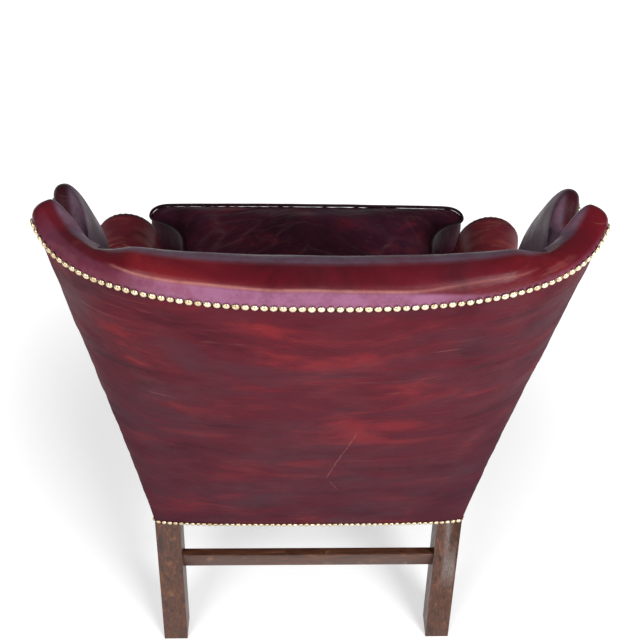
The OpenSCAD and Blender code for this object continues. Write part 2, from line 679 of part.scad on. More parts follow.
// Seat deck: sacking over the springs, then the stuffed pad that the cushion lies on
sacking_z = rail_top + fit + wire_t + clip_t + 2 * fit;
deck_pad_z = sacking_z + cloth_t + fit;
deck_front_y = border_y + skin_t + fit;
deck_corner_x = side_x(border_y, rail_top) - board_in;
module deck_plan() {
    half = [[0, deck_front_y], [deck_corner_x - corner_cut, deck_front_y],
        [deck_corner_x, deck_front_y + corner_cut],
        [side_x(arm_y, rail_top) - board_in, arm_board_y - fit],
        [side_x(arm_y, rail_top) - side_pad_in, arm_board_y - fit],
        [side_x(post_front_y, rail_top) - side_pad_in, post_clear_y(rail_top, deck_z)],
        [leg_in_x, post_clear_y(rail_top, deck_z)], [leg_in_x, post_front_y + post_t],
        [0, post_front_y + post_t]];
    polygon(concat(half, [for (i = [len(half) - 2:-1:1]) [-half[i].x, half[i].y]]));
}
module seat_hessian() { color(jute) translate([0, 0, sacking_z]) linear_extrude(cloth_t) deck_plan(); }
module deck_pad() {
    color(leather) translate([0, 0, deck_pad_z]) linear_extrude(deck_z - deck_pad_z) deck_plan();
}
dust_in = 9;
module dust_cover() {
    half = [[leg_in_x - fit, leg_rear_y], [leg_in_x - fit, leg_rear_y - rear_leg_t - fit],
        [side_x(leg_rear_y, rail_z) - dust_in, leg_rear_y - rear_leg_t - fit],
        [side_x(front_leg_rear_y, rail_z) - dust_in, front_leg_rear_y + fit],
        [front_leg_x - fit, front_leg_rear_y + fit], [front_leg_x - fit, border_y + dust_in]];
    color(black_cloth) translate([0, 0, rail_z - cloth_t - fit]) linear_extrude(cloth_t)
        polygon(concat(half, [for (i = [len(half) - 1:-1:0]) [-half[i].x, half[i].y]]));
}

// Padded back: the face swells behind the waist and rolls over the crest to the nails
// Fall of the padding's underside from the nails inward, and of the panel below it
ledge_fall = 1;
back_foot_z = deck_z + fit;
back_thickness_shares = [0.9, 0.97, 1, 0.96, 0.84];
lip_z = nail_z - crest_lip;
function face_in(z) = let (t = clamp((z - back_foot_z) / (lip_z - back_foot_z), 0, 1))
    lerp(waist_t * through(back_thickness_shares, t), head_t, t * t * t);
function face_y(share, z) = back_y(z) - face_in(z) - back_dish * share * share;
ridge_angle = 90;
roll_angles = [0, 30, 60, ridge_angle, 120, 150, 180];
face_shares = [0.955, 0.88, 0.78, 0.62, 0.42, 0.2, 0];
// Share of the half width where the crest starts to fall to the notch
fall_share = 0.8;
function notch_ease(share) = ease((abs(share) - fall_share) / (1 - fall_share));
function crest_pt(share, a) = let (
    ridge_z = nail_z + crest_rise * lerp(1, notch_rise_share, notch_ease(share)),
    ridge_in = crest_in * lerp(1, notch_in_share, share * share),
    low = a <= ridge_angle ? nail_z : lip_z,
    z = low + (ridge_z - low) * sin(a),
    x = share * pad_x(z),
    y_out = shell_y(share * pad_x(nail_z), z),
    y_face = face_y(share, lip_z),
    deep = a <= ridge_angle ? ridge_in * (1 - cos(a)) : lerp(ridge_in, y_out - y_face, -cos(a))
) [x, y_out - deep, z];
function face_z(t) = lerp(back_foot_z, lip_z, t);
function back_hidden(share, z, in) = let (x = share * pad_x(z)) [x, shell_y(x, z) - in, z];
module inside_back() {
    color(leather) slab(
        [for (share = back_shares) concat([for (a = roll_angles) crest_pt(share, a)],
            [for (t = face_shares) let (z = face_z(t)) [share * pad_x(z), face_y(share, z), z]])],
        [for (share = back_shares) concat([for (a = roll_angles)
                back_hidden(share, nail_z - ledge_fall, lerp(skin_t + fit, pad_in, a / 180))],
            [for (t = face_shares) back_hidden(share, face_z(t), pad_in)])]);
}

// Padded wings: rolled edge from the nails over the ridge, then the face back to the crease
notch_reach = 28;
ridge_depth = 18;
notch_reach_share = 0.36;
// Fullness of the roll's outer half, bend at its ridge, and its fall towards the crease
roll_pow = 2.3;
ridge_pow = 1.8;
inner_drop = 62;
inner_drop_share = 0.6;
function full(v) = pow(max(v, 0), 2 / roll_pow);
function bent(v) = pow(max(v, 0), 2 / ridge_pow);
function roll_in(s, a) = let (reach = lerp(notch_reach, ridge_depth, ease(s / notch_reach_share)))
    a <= ridge_angle ? reach * (1 - full(cos(a))) : lerp(reach, wing_t, bent(-cos(a)));
function wing_row(s) = let (r = ridge(s), n = ridge_in(s), d = drop_at(s), e = crease(s),
    inner = (e - r) * min(inner_drop_share, inner_drop / norm(e - r)), q = r + inner) concat(
    [for (a = roll_angles) let (p = a <= ridge_angle ? r + n * d * (1 - full(sin(a)))
        : r + inner * (1 - bent(sin(a)))) wing_pt(p.x, p.y, roll_in(s, a))],
    [for (t = [0.3, 0.65, 1]) let (p = lerp(q, e, t)) wing_pt(p.x, p.y, lerp(wing_t, wing_root_t, t))]);
function wing_back_row(s) = let (e = crease(s), q = nail_line(s), n = ridge_in(s)) concat(
    [for (a = roll_angles) let (p = q + n * ledge_fall)
        wing_pt(p.x, p.y, lerp(skin_t + fit, side_pad_in, a / 180))],
    [for (t = [0.3, 0.65, 1]) let (p = lerp(q, e, t)) wing_pt(p.x, p.y, side_pad_in)]);
arm_stations = [0, 0.12, 0.3, 0.5, 0.7, 0.85, 1];
function arm_ring(y, grow) = [for (q = arm_outline(y, side_pad_in, grow)) [q.x, y, q.y]];
module inside_wing() {
    color(leather) difference() {
        slab([for (s = wing_row_shares) wing_row(s)], [for (s = wing_row_shares) wing_back_row(s)]);
        loft([for (t = arm_stations) arm_ring(lerp(arm_y, arm_end_y + fit, t), fit)]);
    }
}

// Padded arm: inside face, scroll, and the tuck under it; behind the wing's front edge the
// scroll's outer half gives way to the wing's post
wing_cut_y = wing_front_y - skin_t;
module arm_pad() {
    color(leather) difference() {
        loft([for (t = arm_stations) arm_ring(lerp(arm_y, arm_end_y, t), 0)]);
        slab([for (z = [under_z(wing_cut_y) - over, arm_z + scroll_h])
                [for (y = [wing_cut_y, arm_end_y + over]) side_pt(y, z, -scroll_out)]],
            [for (z = [under_z(wing_cut_y) - over, arm_z + scroll_h])
                [for (y = [wing_cut_y, arm_end_y + over]) side_pt(y, z, side_pad_in - fit)]]);
    }
}

panel_drop = ledge_fall + fit;
panel_rows = [0, 0.1, 0.3, 0.6, 1];
seam_station = len(corner_shares) - 1;
function panel_top(k) = let (n = ridge_in(corner_shares[k]),
    q = nail_line(corner_shares[k]) + panel_drop * n)
    k == seam_station ? [corner_run, q.y + (q.x - corner_run) * n.x / n.y] : q;
function panel_row(t, in) = across(concat(
    [for (share = half_shares) let (z = lerp(rail_z, nail_z - panel_drop, t), x = pad_x(z) * share)
        [x, shell_y(x, z) - in, z]],
    [for (k = [1:seam_station]) let (q = panel_top(k)) wing_pt(q.x, lerp(rail_z, q.y, t), in)]));
module outside_back() {
    color(leather) slab([for (t = panel_rows) panel_row(t, skin_t)],
        [for (t = panel_rows) panel_row(t, 0)]);
}
seam_gap = 2 * fit;
function panel_front(z) = corner_run + corner_y(z) - wing_cut_y - fit;
function side_seam(z) = [corner_run + seam_gap, z];
panel_foot_z = under_z(wing_cut_y) + fit;
module outside_wing() {
    top = nail_line(1);
    rim = concat([for (s = concat([seam_share], front_shares))
            nail_line(s) + panel_drop * ridge_in(s)],
        [[panel_front(top.y), top.y - seam_gap], [panel_front(panel_foot_z), panel_foot_z]]);
    n = len(rim) - 1;
    z1 = rim[0].y - seam_gap;
    rows = [for (i = [0:n]) let (e = side_seam(lerp(z1, panel_foot_z, i / n)),
        p = i == 0 ? [e.x, rim[0].y] : [max(rim[i].x, e.x), rim[i].y])
        [for (t = [0, 0.4, 0.75, 1]) lerp(p, e, t)]];
    color(leather) slab([for (r = rows) [for (q = r) wing_pt(q.x, q.y, skin_t)]],
        [for (r = rows) [for (q = r) wing_pt(q.x, q.y, 0)]]);
}
function outside_arm_pt(k, t, in) = let (
    f = [0, 0.35, 0.7, 1][min(k, 3)],
    y = k > 3 ? lerp(wing_cut_y, arm_end_y, (k - 3) / 2) : lerp(arm_y, wing_cut_y, f),
    z = lerp(rail_z, min(under_z(y), under_z(wing_cut_y)) - fit, t)
) side_pt(k == 5 ? corner_y(z) - seam_gap : y, z, in);
module outside_arm() {
    color(leather) slab([for (t = [0, 0.35, 0.7, 1]) [for (k = [0:5]) outside_arm_pt(k, t, 0)]],
        [for (t = [0, 0.35, 0.7, 1]) [for (k = [0:5]) outside_arm_pt(k, t, skin_t)]]);
}

// Front border: leather round the seat's front from arm to arm
border_corner = 14;
border_bulge = 3;
border_end_y = arm_y - fit;
function border_half(z, in) = let (
    c = border_y + border_corner,
    wide = side_x(c, z),
    swell = border_bulge * sin(180 * clamp((z - rail_z) / (deck_z - rail_z), 0, 1))
) concat(
    [for (t = [0, 0.4, 0.8]) [(wide - border_corner) * t, border_y + in - swell, z]],
    [for (a = [0, 30, 60, 90]) [wide - border_corner + (border_corner - in) * sin(a),
        c - (border_corner - in) * cos(a) - swell * cos(a), z]],
    [for (t = [0.25, 0.6, 1]) side_pt(lerp(c, border_end_y, t), z, in)]);
border_rows = [0, 0.2, 0.5, 0.8, 1];
module front_border() {
    color(leather) slab(
        [for (t = border_rows) across(border_half(lerp(rail_z, deck_z, t), 0))],
        [for (t = border_rows) across(border_half(lerp(rail_z, deck_z, t), skin_t))]);
}

// Leather-covered board on the front of the arm
facing_t = 10;
facing_y = arm_y - fit;
function facing_outline() = let (o = arm_outline(arm_y, 0, 0)) [for (i = [0:len(o) - 2]) o[i]];
module arm_facing() {
    color(dark_leather) translate([0, facing_y, 0]) rotate([90, 0, 0]) linear_extrude(facing_t)
        polygon(facing_outline());
}

// Close nailing: one row round the crest and wings, one round the seat, one on each arm front
function skin_normal(across_way, up_way) = unit(cross(up_way, across_way));
function back_nail(x, z) = [[x, shell_y(x, z), z], skin_normal(
    [2, shell_y(x + 1, z) - shell_y(x - 1, z), 0], [0, shell_y(x, z + 1) - shell_y(x, z - 1), 2])];
function wing_nail(g, z) = [wing_pt(g, z, 0), skin_normal(
    wing_pt(g + 1, z, 0) - wing_pt(g - 1, z, 0), wing_pt(g, z + 1, 0) - wing_pt(g, z - 1, 0))];
crown_path = concat([for (share = half_shares) back_nail(pad_x(nail_z) * share, nail_z)],
    [for (i = [1:len(wing_row_shares) - 1]) let (q = nail_line(wing_row_shares[i]))
        wing_nail(q.x, q.y)]);
module crown_nails() {
    color(brass) for (right = [false, true]) mirrored(right) nail_row(crown_path);
}
hem_z = rail_z + hem_in;
function hem_points(z) = concat(
    half_row(function (g) z, 0, seam_station),
    [for (t = [0.05, 0.35, 0.7]) side_pt(lerp(corner_y(z), border_end_y, t), z, 0)],
    [for (i = [9:-1:0]) border_half(z, 0)[i]]);
hem_low = hem_points(hem_z - 1);
hem_high = hem_points(hem_z + 1);
hem_path = let (p = hem_points(hem_z), n = len(p) - 1) [for (i = [0:n])
    [p[i], skin_normal(p[min(i + 1, n)] - p[max(i - 1, 0)], hem_high[i] - hem_low[i])]];
module hem_nails() {
    color(brass) for (right = [false, true]) mirrored(right) nail_row(hem_path);
}
facing_nail_in = 8;
module facing_nails() {
    shape = arm_outline(arm_y, 0, -facing_nail_in);
    color(brass) nail_row([for (i = [0:len(arc_angles) + 1])
        [[shape[i].x, facing_y - facing_t, shape[i].y], [0, -1, 0]]]);
}

// Loose T cushion: crowned above, its band swelling out, its corners rounded
cushion_z = deck_z + fit;
seam_lift = 8;
band_swell = 5;
cushion_back_y = face_y(1, back_foot_z) - band_swell - 2 * fit;
rear_cushion_gap = 9;
ear_x = side_x(border_y, deck_z) - ear_in;
body_x = arm_gap_x - cushion_gap;
rear_body_x = rear_gap_x - rear_cushion_gap;
ear_corner = 28;
ear_tip = 10;
rear_corner = 36;
side_draw = 4;
front_bow = 4;
rear_bow = 6;
ear_drop = 46;
hollow_y = cushion_y + ear_drop + ear_r;
function arc(c, r, angles) = [for (a = angles) [c.x + r * cos(a), c.y + r * sin(a)]];
function cushion_half() = concat(
    [for (t = [0, 1 / 3, 2 / 3]) [ear_x * t, cushion_y - front_bow * (1 - t * t)]],
    arc([ear_x - ear_corner, cushion_y + ear_corner], ear_corner, [-90, -60, -30, 0]),
    arc([ear_x - ear_tip, cushion_y + ear_drop - ear_tip], ear_tip, [30, 80]),
    arc([body_x + ear_r, hollow_y], ear_r, [-104, -120, -138, -158, -178]),
    [for (t = [0.2, 0.45, 0.75]) [lerp(body_x, rear_body_x, t) - side_draw * sin(180 * t),
        lerp(hollow_y, cushion_back_y - rear_corner, t)]],
    arc([rear_body_x - rear_corner, cushion_back_y - rear_corner], rear_corner, [0, 30, 60, 90]),
    [for (t = [0.5, 0]) [rear_body_x * t, cushion_back_y + rear_bow * (1 - t * t)]]);
cushion_plan = let (h = cushion_half(), n = len(h) - 1)
    concat(h, [for (i = [n - 1:-1:1]) [-h[i].x, h[i].y]]);
cushion_centre = [0, lerp(cushion_y, cushion_back_y, 0.28)];
function outward(i) = let (n = len(cushion_plan),
    t = unit(cushion_plan[(i + 1) % n] - cushion_plan[(i + n - 1) % n])) [t.y, -t.x];
// A ring of the plan: drawn in by a length, then shrunk towards the centre by a share
edge_in = 7;
function ring_at(share, in, z) = [for (i = [0:len(cushion_plan) - 1]) let (
    p = lerp(cushion_centre, cushion_plan[i] - in * outward(i), share)) [p.x, p.y, z]];
crown_rings = [[1, 0.2], [0.93, 0.46], [0.8, 0.74], [0.58, 0.93], [0.3, 1]];
band_shares = [[0.25, 0.8], [0.5, 1], [0.75, 0.8]];
swell_share = 1 + band_swell / ear_x;
seam_low = cushion_z + seam_lift;
seam_high = seam_low + band_h;
function cushion_rings(plan_share, shave, grow) = concat(
    [ring_at(plan_share, edge_in - grow, cushion_z + shave),
        ring_at(plan_share, -grow, seam_low + shave)],
    [for (b = band_shares) ring_at(plan_share * lerp(1, swell_share, b[1]), -grow,
        lerp(seam_low, seam_high, b[0]))],
    [ring_at(plan_share, -grow, seam_high - shave)],
    [for (r = crown_rings) ring_at(r[0] * plan_share, edge_in - grow,
        seam_high + crown_h * r[1] - shave)]);
module cushion_body(plan_share, shave, grow) { loft(cushion_rings(plan_share, shave, grow)); }
core_share = 0.95;
core_shave = 7;
core_gap = 2 * fit;
module cushion_cover() {
    color(dark_leather) difference() {
        cushion_body(1, 0, 0);
        cushion_body(core_share, core_shave - core_gap, core_gap);
    }
}
module cushion_core() { color("ivory") cushion_body(core_share, core_shave, 0); }
welt_out = welt_r * 0.65 + fit;
function welt_path(z) = [for (i = [0:len(cushion_plan) - 1]) let (
    q = cushion_plan[i] + welt_out * outward(i)) [q.x, q.y, z]];
module cushion_top_welt() {
    color(dark_leather) ring_cord(welt_path(seam_high + welt_out), welt_r, 6);
}
module cushion_bottom_welt() {
    color(dark_leather) ring_cord(welt_path(seam_low - welt_out), welt_r, 6);
}
// Zip along the middle of the cushion's rear band
zip_half = 180;
zip_h = 12;
zip_t = 1.6;
zip_pull_w = 8;
zip_z = lerp(seam_low, seam_high, 0.5);
rear_band = [[0, rear_bow], [rear_body_x / 2, rear_bow * 0.75], [rear_body_x - rear_corner, 0]];
function rear_band_y(x) = lerp(cushion_centre.y, cushion_back_y + lookup(abs(x) / swell_share,
    rear_band), swell_share);
function zip_row(z, out) = [for (x = [-zip_half, -rear_body_x * swell_share / 2, 0,
    rear_body_x * swell_share / 2, zip_half]) [x, rear_band_y(x) + fit + out, z]];
module cushion_zip() {
    color(brass) {
        slab([zip_row(zip_z - zip_h / 2, 0), zip_row(zip_z + zip_h / 2, 0)],
            [zip_row(zip_z - zip_h / 2, zip_t), zip_row(zip_z + zip_h / 2, zip_t)]);
        translate([zip_half - 2 * zip_pull_w, rear_band_y(zip_half) + rear_bow * 0.5, zip_z - 2 * zip_h])
            cube([zip_pull_w, zip_t, 2 * zip_h]);
    }
}

// Each piece by its name
mirrored(false) rear_post();  // rear_post_left
mirrored(true) rear_post();  // rear_post_right
mirrored(false) front_leg();  // front_leg_left
mirrored(true) front_leg();  // front_leg_right
front_rail();
rear_rail();
mirrored(false) side_rail();  // side_rail_left
mirrored(true) side_rail();  // side_rail_right
mirrored(false) side_stretcher();  // side_stretcher_left
mirrored(true) side_stretcher();  // side_stretcher_right
cross_stretcher();
rear_stretcher();
corner_blocks();
block_screws();
crest_rail();
lower_back_rail();
mirrored(false) arm_post();  // arm_post_left
mirrored(true) arm_post();  // arm_post_right
mirrored(false) arm_rail();  // arm_rail_left
mirrored(true) arm_rail();  // arm_rail_right
mirrored(false) arm_tacking_rail();  // arm_tacking_rail_left
mirrored(true) arm_tacking_rail();  // arm_tacking_rail_right
mirrored(false) wing_rail();  // wing_rail_left
mirrored(true) wing_rail();  // wing_rail_right
mirrored(false) wing_post();  // wing_post_left
mirrored(true) wing_post();  // wing_post_right
back_webbing();
back_hessian();
seat_springs();
spring_clips();
seat_hessian();
deck_pad();
dust_cover();
inside_back();
mirrored(false) inside_wing();  // inside_wing_left
mirrored(true) inside_wing();  // inside_wing_right
mirrored(false) arm_pad();  // arm_pad_left
mirrored(true) arm_pad();  // arm_pad_right
outside_back();
mirrored(false) outside_wing();  // outside_wing_left
mirrored(true) outside_wing();  // outside_wing_right
mirrored(false) outside_arm();  // outside_arm_left
mirrored(true) outside_arm();  // outside_arm_right
front_border();
mirrored(false) arm_facing();  // arm_facing_left
mirrored(true) arm_facing();  // arm_facing_right
crown_nails();
hem_nails();
mirrored(false) facing_nails();  // facing_nails_left
mirrored(true) facing_nails();  // facing_nails_right
cushion_cover();
cushion_core();
cushion_top_welt();
cushion_bottom_welt();
cushion_zip();
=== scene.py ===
import math

import bmesh
import bpy
import numpy as np
from mathutils import Matrix, Vector, kdtree, noise


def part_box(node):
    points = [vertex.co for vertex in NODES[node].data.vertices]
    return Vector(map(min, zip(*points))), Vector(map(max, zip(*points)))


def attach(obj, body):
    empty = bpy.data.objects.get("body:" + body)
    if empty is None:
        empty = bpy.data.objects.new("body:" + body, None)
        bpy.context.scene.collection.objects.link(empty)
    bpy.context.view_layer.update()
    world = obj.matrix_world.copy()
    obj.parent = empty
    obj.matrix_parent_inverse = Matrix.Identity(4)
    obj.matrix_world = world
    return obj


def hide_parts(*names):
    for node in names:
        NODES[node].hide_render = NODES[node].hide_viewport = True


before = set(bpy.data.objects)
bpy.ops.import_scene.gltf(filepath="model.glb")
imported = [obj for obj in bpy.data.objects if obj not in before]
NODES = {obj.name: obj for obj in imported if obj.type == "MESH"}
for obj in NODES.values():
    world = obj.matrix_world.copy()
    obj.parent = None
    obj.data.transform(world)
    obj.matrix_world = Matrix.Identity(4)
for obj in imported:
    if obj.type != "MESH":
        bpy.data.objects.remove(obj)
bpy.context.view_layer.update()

SIDES = (("left", 1), ("right", -1))
MM = 0.001

# Sizes in mm, as in the part's source
rail_z, rail_h = 278, 70
foot_w, foot_y, border_y, foot_flare, skin_t = 560, 238.5, -383.5, 0.092, 4
nail_z, top_w, back_rake = 1014, 696, 13.6
top_corner, foot_corner, corner_pow = 205, 10, 2.5
crest_rise, crest_in, head_t, waist_t = 32, 40, 74, 122
hump_rise, wing_reach, wing_t, wing_root_t = 30, 330, 44, 52
arm_z, arm_y, arm_in, arm_wall_t, arm_flare = 618, -226.5, 24.5, 75.5, 0.158
scroll_out, scroll_in, scroll_h = 61, 60, 63
deck_rise, band_h, crown_h, cushion_y, ear_in = 40, 98, 24, -409.5, 32
cushion_gap, ear_r, welt_r = 16, 84, 3.2
deck_z = rail_z + rail_h + deck_rise
nail_pitch, nail_d, nail_h, nail_lift = 10.3, 9, 2.6, 0.4
fit, cloth_t, slack, board_t = 0.3, 1.2, 1.2, 24
board_in = skin_t + 1
pad_in = board_in + board_t + 3 * fit + 2 * (cloth_t + slack)
side_pad_in = board_in + board_t + 2 * slack
corner_run, notch_draw, draw_run, crease_gap, back_dish, crest_lip = 160, 38, 134, 3, 14, 14
notch_rise_share, notch_in_share, fall_share, notch_reach, notch_reach_share = 0.5, 0.8, 0.8, 28, 0.36
ridge_depth, roll_pow, ridge_pow, inner_drop, inner_drop_share = 18, 2.3, 1.8, 62, 0.6
ledge_fall = 1
seam_reach = crease_gap / 2
hide_t = 3.2
hem_up = 6
panel_drop = ledge_fall + fit


def lerp(a, b, t):
    return a + (b - a) * t


def ease(t):
    c = np.clip(t, 0, 1)
    return c * c * (3 - 2 * c)


def bell(x, centre, width):
    return np.exp(-((x - centre) / width) ** 2)


def through(points, t):
    """A smooth curve through a list of points or numbers, t from 0 to 1."""
    p = np.asarray(points, float)
    n = len(p) - 1
    u = np.clip(np.asarray(t, float), 0, 1) * n
    i = np.minimum(np.floor(u).astype(int), n - 1)
    f = u - i
    a, b, c, d = p[np.maximum(i - 1, 0)], p[i], p[i + 1], p[np.minimum(i + 2, n)]
    if p.ndim > 1:
        f = f[..., None]
    return (2 * b + (c - a) * f + (2 * a - 5 * b + 4 * c - d) * f * f
            + (3 * b - a - 3 * c + d) * f * f * f) / 2


def joined(*runs):
    """Even runs of numbers end to end, each as start, end and count, with no number twice."""
    return np.concatenate([np.linspace(*runs[0])] + [np.linspace(*run)[1:] for run in runs[1:]])


def points(x, y, z):
    return np.stack(np.broadcast_arrays(x, y, z), -1).astype(float)


# The leather's outer face, a horseshoe in plan at each height
def rise_of(z):
    return (z - rail_z) / (nail_z - rail_z)


def half_w(z):
    return lerp(foot_w, top_w, rise_of(z)) / 2


def corner_d(z):
    return np.maximum(foot_corner, lerp(foot_corner, top_corner, rise_of(z)))


def back_y(z):
    return foot_y + (z - rail_z) * math.tan(math.radians(back_rake))


def corner_y(z):
    return back_y(z) - corner_d(z)


def flare(z):
    return lerp(foot_flare, arm_flare, np.clip((z - rail_z) / (arm_z - scroll_h - rail_z), 0, 1))


def side_x(y, z):
    return half_w(z) + flare(z) * np.maximum(corner_y(z) - y, 0)


def shell_y(x, z):
    share = np.minimum(np.abs(x) / half_w(z), 1)
    return back_y(z) - corner_d(z) * (1 - (1 - share ** corner_pow) ** (1 / corner_pow))


def side_pt(y, z, depth):
    return points(side_x(y, z) - depth, y, z)


def pad_x(z):
    drawn = np.clip((z - nail_z + draw_run) / draw_run, 0, 1)
    return half_w(z) - wing_root_t - crease_gap - notch_draw * drawn ** 2


def wing_pt(g, z, depth):
    """A point g along the wing from the notch, at height z, depth in from the outer face."""
    g, z, depth = np.broadcast_arrays(np.asarray(g, float), z, depth)
    w = half_w(z) - depth
    start = np.arcsin(np.minimum(1, (pad_x(z) + crease_gap / 2) / w) ** (corner_pow / 2))
    a = lerp(start, math.pi / 2, np.clip(g / corner_run, 0, 1))
    d = np.maximum(corner_d(z) - depth, foot_corner / 2)
    round_x = w * np.sin(a) ** (2 / corner_pow)
    round_y = back_y(z) - depth - d * (1 - np.maximum(np.cos(a), 0) ** (2 / corner_pow))
    along = corner_y(z) - (g - corner_run)
    far = g >= corner_run
    return points(np.where(far, side_x(along, z) - depth, round_x), np.where(far, along, round_y), z)


wing_shares = [[0, 0.958], [0.2, 0.963], [0.332, 0.996], [0.418, 0.91], [0.48, 0.788],
               [0.56, 0.783], [0.665, 0.833], [0.77, 0.78], [0.885, 0.654], [0.972, 0.535],
               [1, 0.416], [0.985, 0.277], [0.96, 0.139], [0.965, -0.06]]
crease_shares = [0.905, 0.88, 0.86, 0.8, 0.73, 0.66, 0.59, 0.51, 0.43, 0.34, 0.25, 0.15, 0.05, -0.06]
nail_shares = [[0, 1], [0.195, 1.01], [0.311, 1.028], [0.362, 0.95], [0.442, 0.783],
               [0.578, 0.7776], [0.661, 0.8357], [0.715, 0.7927], [0.818, 0.669], [0.894, 0.555],
               [0.918, 0.4516], [0.903, 0.3075], [0.879, 0.156], [0.883, -0.0637]]
wing_foot_z = arm_z + fit


def ridge(s):
    q = through(wing_shares, s)
    return np.stack([q[..., 0] * wing_reach, lerp(wing_foot_z, nail_z + hump_rise, q[..., 1])], -1)


def nail_line(s):
    q = through(nail_shares, s)
    return np.stack([q[..., 0] * wing_reach, lerp(wing_foot_z, nail_z, q[..., 1])], -1)


def crease_z(s):
    return lerp(wing_foot_z, nail_z + hump_rise, through(crease_shares, s))


table_s = np.linspace(0, 1, 801)
table_line = nail_line(table_s)
first_fall = int(np.argmax(np.diff(table_line[:, 0]) < 0))
seam_share = float(np.interp(corner_run, table_line[:first_fall, 0], table_s[:first_fall]))


def full(v):
    return np.maximum(v, 0) ** (2 / roll_pow)


def bent(v):
    return np.maximum(v, 0) ** (2 / ridge_pow)


def roll_in(s, roll):
    """Depth of the wing's rolled edge: shallow at the notch, where it carries on the crest's roll."""
    reach = lerp(notch_reach, ridge_depth, ease(s / notch_reach_share))
    return np.where(roll <= math.pi / 2, reach * (1 - full(np.cos(roll))),
                    lerp(reach, wing_t, bent(-np.cos(roll))))


# Arm scroll along y
arm_end_in, rear_wall_t, rear_arm_out = 18, 44, 6
arm_end_y = float(corner_y(arm_z)) - arm_end_in
arm_x = float(side_x(arm_y, arm_z - scroll_h)) - arm_in
arm_gap_x = float(side_x(arm_y, deck_z)) - arm_wall_t
rear_gap_x = float(side_x(arm_end_y, deck_z)) - rear_wall_t
rear_out, rear_in, rear_h, arm_drop, under_drop = 26, 30, 40, 3, 28
rear_arm_x = float(side_x(arm_end_y, arm_z - scroll_h)) + rear_arm_out - rear_out
wing_front_y = float(corner_y(arm_z)) - (wing_reach * wing_shares[-1][0] - corner_run)
wing_cut_y = wing_front_y - skin_t


def arm_f(y):
    return np.clip((y - arm_y) / (arm_end_y - arm_y), 0, 1)


def scroll_of(y):
    """The scroll's centre, height and its reaches outward and inward at y."""
    f = arm_f(y)
    return (lerp(arm_x, rear_arm_x, f), lerp(arm_z - scroll_h, arm_z - arm_drop - rear_h, f),
            lerp(scroll_h, rear_h, f), lerp(scroll_out, rear_out, f), lerp(scroll_in, rear_in, f))


def arm_top(x, y):
    """Height of the arm's dome over a point, or far below where it has none."""
    cx, cz, h, out, inn = scroll_of(y)
    u = np.where(x > cx, (x - cx) / out, (cx - x) / inn)
    return np.where(np.abs(u) < 1, cz + h * np.sqrt(np.maximum(1 - u * u, 0)), -1e4)


# ---- meshes
def grid_normals(p):
    n = np.cross(np.gradient(p, axis=0), np.gradient(p, axis=1))
    return n / np.maximum(np.linalg.norm(n, axis=-1, keepdims=True), 1e-9)


def outward_normals(front, behind):
    n = grid_normals(front)
    away = front - behind
    return n if (n * away).sum() > 0 else -n


def slab_faces(n, m):
    k = n * m
    quad = (np.arange(n - 1)[:, None] * m + np.arange(m - 1)).reshape(-1)
    front = np.stack([quad, quad + 1, quad + m + 1, quad + m], 1)
    j, i = np.arange(m - 1), np.arange(n - 1) * m
    rims = [np.stack([j, j + 1, k + j + 1, k + j], 1),
            np.stack([(n - 1) * m + j, (n - 1) * m + j + 1, k + (n - 1) * m + j + 1, k + (n - 1) * m + j], 1),
            np.stack([i, i + m, k + i + m, k + i], 1),
            np.stack([i + m - 1, i + 2 * m - 1, k + i + 2 * m - 1, k + i + m - 1], 1)]
    return np.concatenate([front, front[:, ::-1] + k, *rims])


def tube_faces(rings, closed=False):
    n, m = rings.shape[:2]
    i = np.arange(n if closed else n - 1)[:, None]
    j = np.arange(m)[None, :]
    a, b = i * m + j, i * m + (j + 1) % m
    c, d = ((i + 1) % n) * m + j, ((i + 1) % n) * m + (j + 1) % m
    faces = np.stack([a, b, d, c], -1).reshape(-1, 4).tolist()
    if not closed:
        faces += [list(range(m)), list(range((n - 1) * m, n * m))]
    return faces


def linked(name, data):
    """A new object with this data, put in the scene."""
    made = bpy.data.objects.new(name, data)
    bpy.context.scene.collection.objects.link(made)
    return made


def new_mesh(name, verts, faces):
    mesh = bpy.data.meshes.new(name)
    mesh.from_pydata(verts, [], faces)
    return mesh


def rebuild(mesh, *steps):
    """Run steps that edit a mesh through bmesh, such as weld."""
    build = bmesh.new()
    build.from_mesh(mesh)
    for step in steps:
        step(build)
    build.to_mesh(mesh)
    build.free()


def face_outward(build):
    bmesh.ops.recalc_face_normals(build, faces=build.faces)


def weld(build):
    bmesh.ops.remove_doubles(build, verts=build.verts, dist=1e-5)


def places(mesh):
    return np.array([v.co for v in mesh.vertices])


def move(mesh, co):
    mesh.vertices.foreach_set("co", co.reshape(-1))


def paint(mesh, name, values, kind="FLOAT", field="value"):
    """Values at a mesh's points, kept as a named attribute."""
    layer = mesh.attributes.get(name) or mesh.attributes.new(name, kind, "POINT")
    layer.data.foreach_set(field, np.asarray(values, np.float32).reshape(-1))


def evaluated(thing):
    return bpy.data.meshes.new_from_object(thing.evaluated_get(bpy.context.evaluated_depsgraph_get()))


def add_piece(name, verts, faces, material, body="chair", nodes=(), slot=None, mirror=1, sharp=50, **values):
    """A closed mesh in mm as a finished piece, its values kept as attributes of its points."""
    verts = np.asarray(verts, float).reshape(-1, 3) * [mirror, 1, 1]
    mesh = new_mesh(name, (verts * MM).tolist(), faces if isinstance(faces, list) else faces.tolist())
    for key, value in values.items():
        paint(mesh, key, value)
    return finish_piece(name, mesh, material, body, nodes, sharp)


def finish_piece(name, mesh, material, body, nodes, sharp):
    rebuild(mesh, face_outward)
    mesh.shade_smooth()
    if sharp:
        mesh.set_sharp_from_angle(angle=math.radians(sharp))
    mesh.materials.clear()
    mesh.materials.append(material)
    piece = linked(name, mesh)
    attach(piece, body)
    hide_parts(*nodes)
    return piece


VALUES = ("tone", "sheen", "bloom")


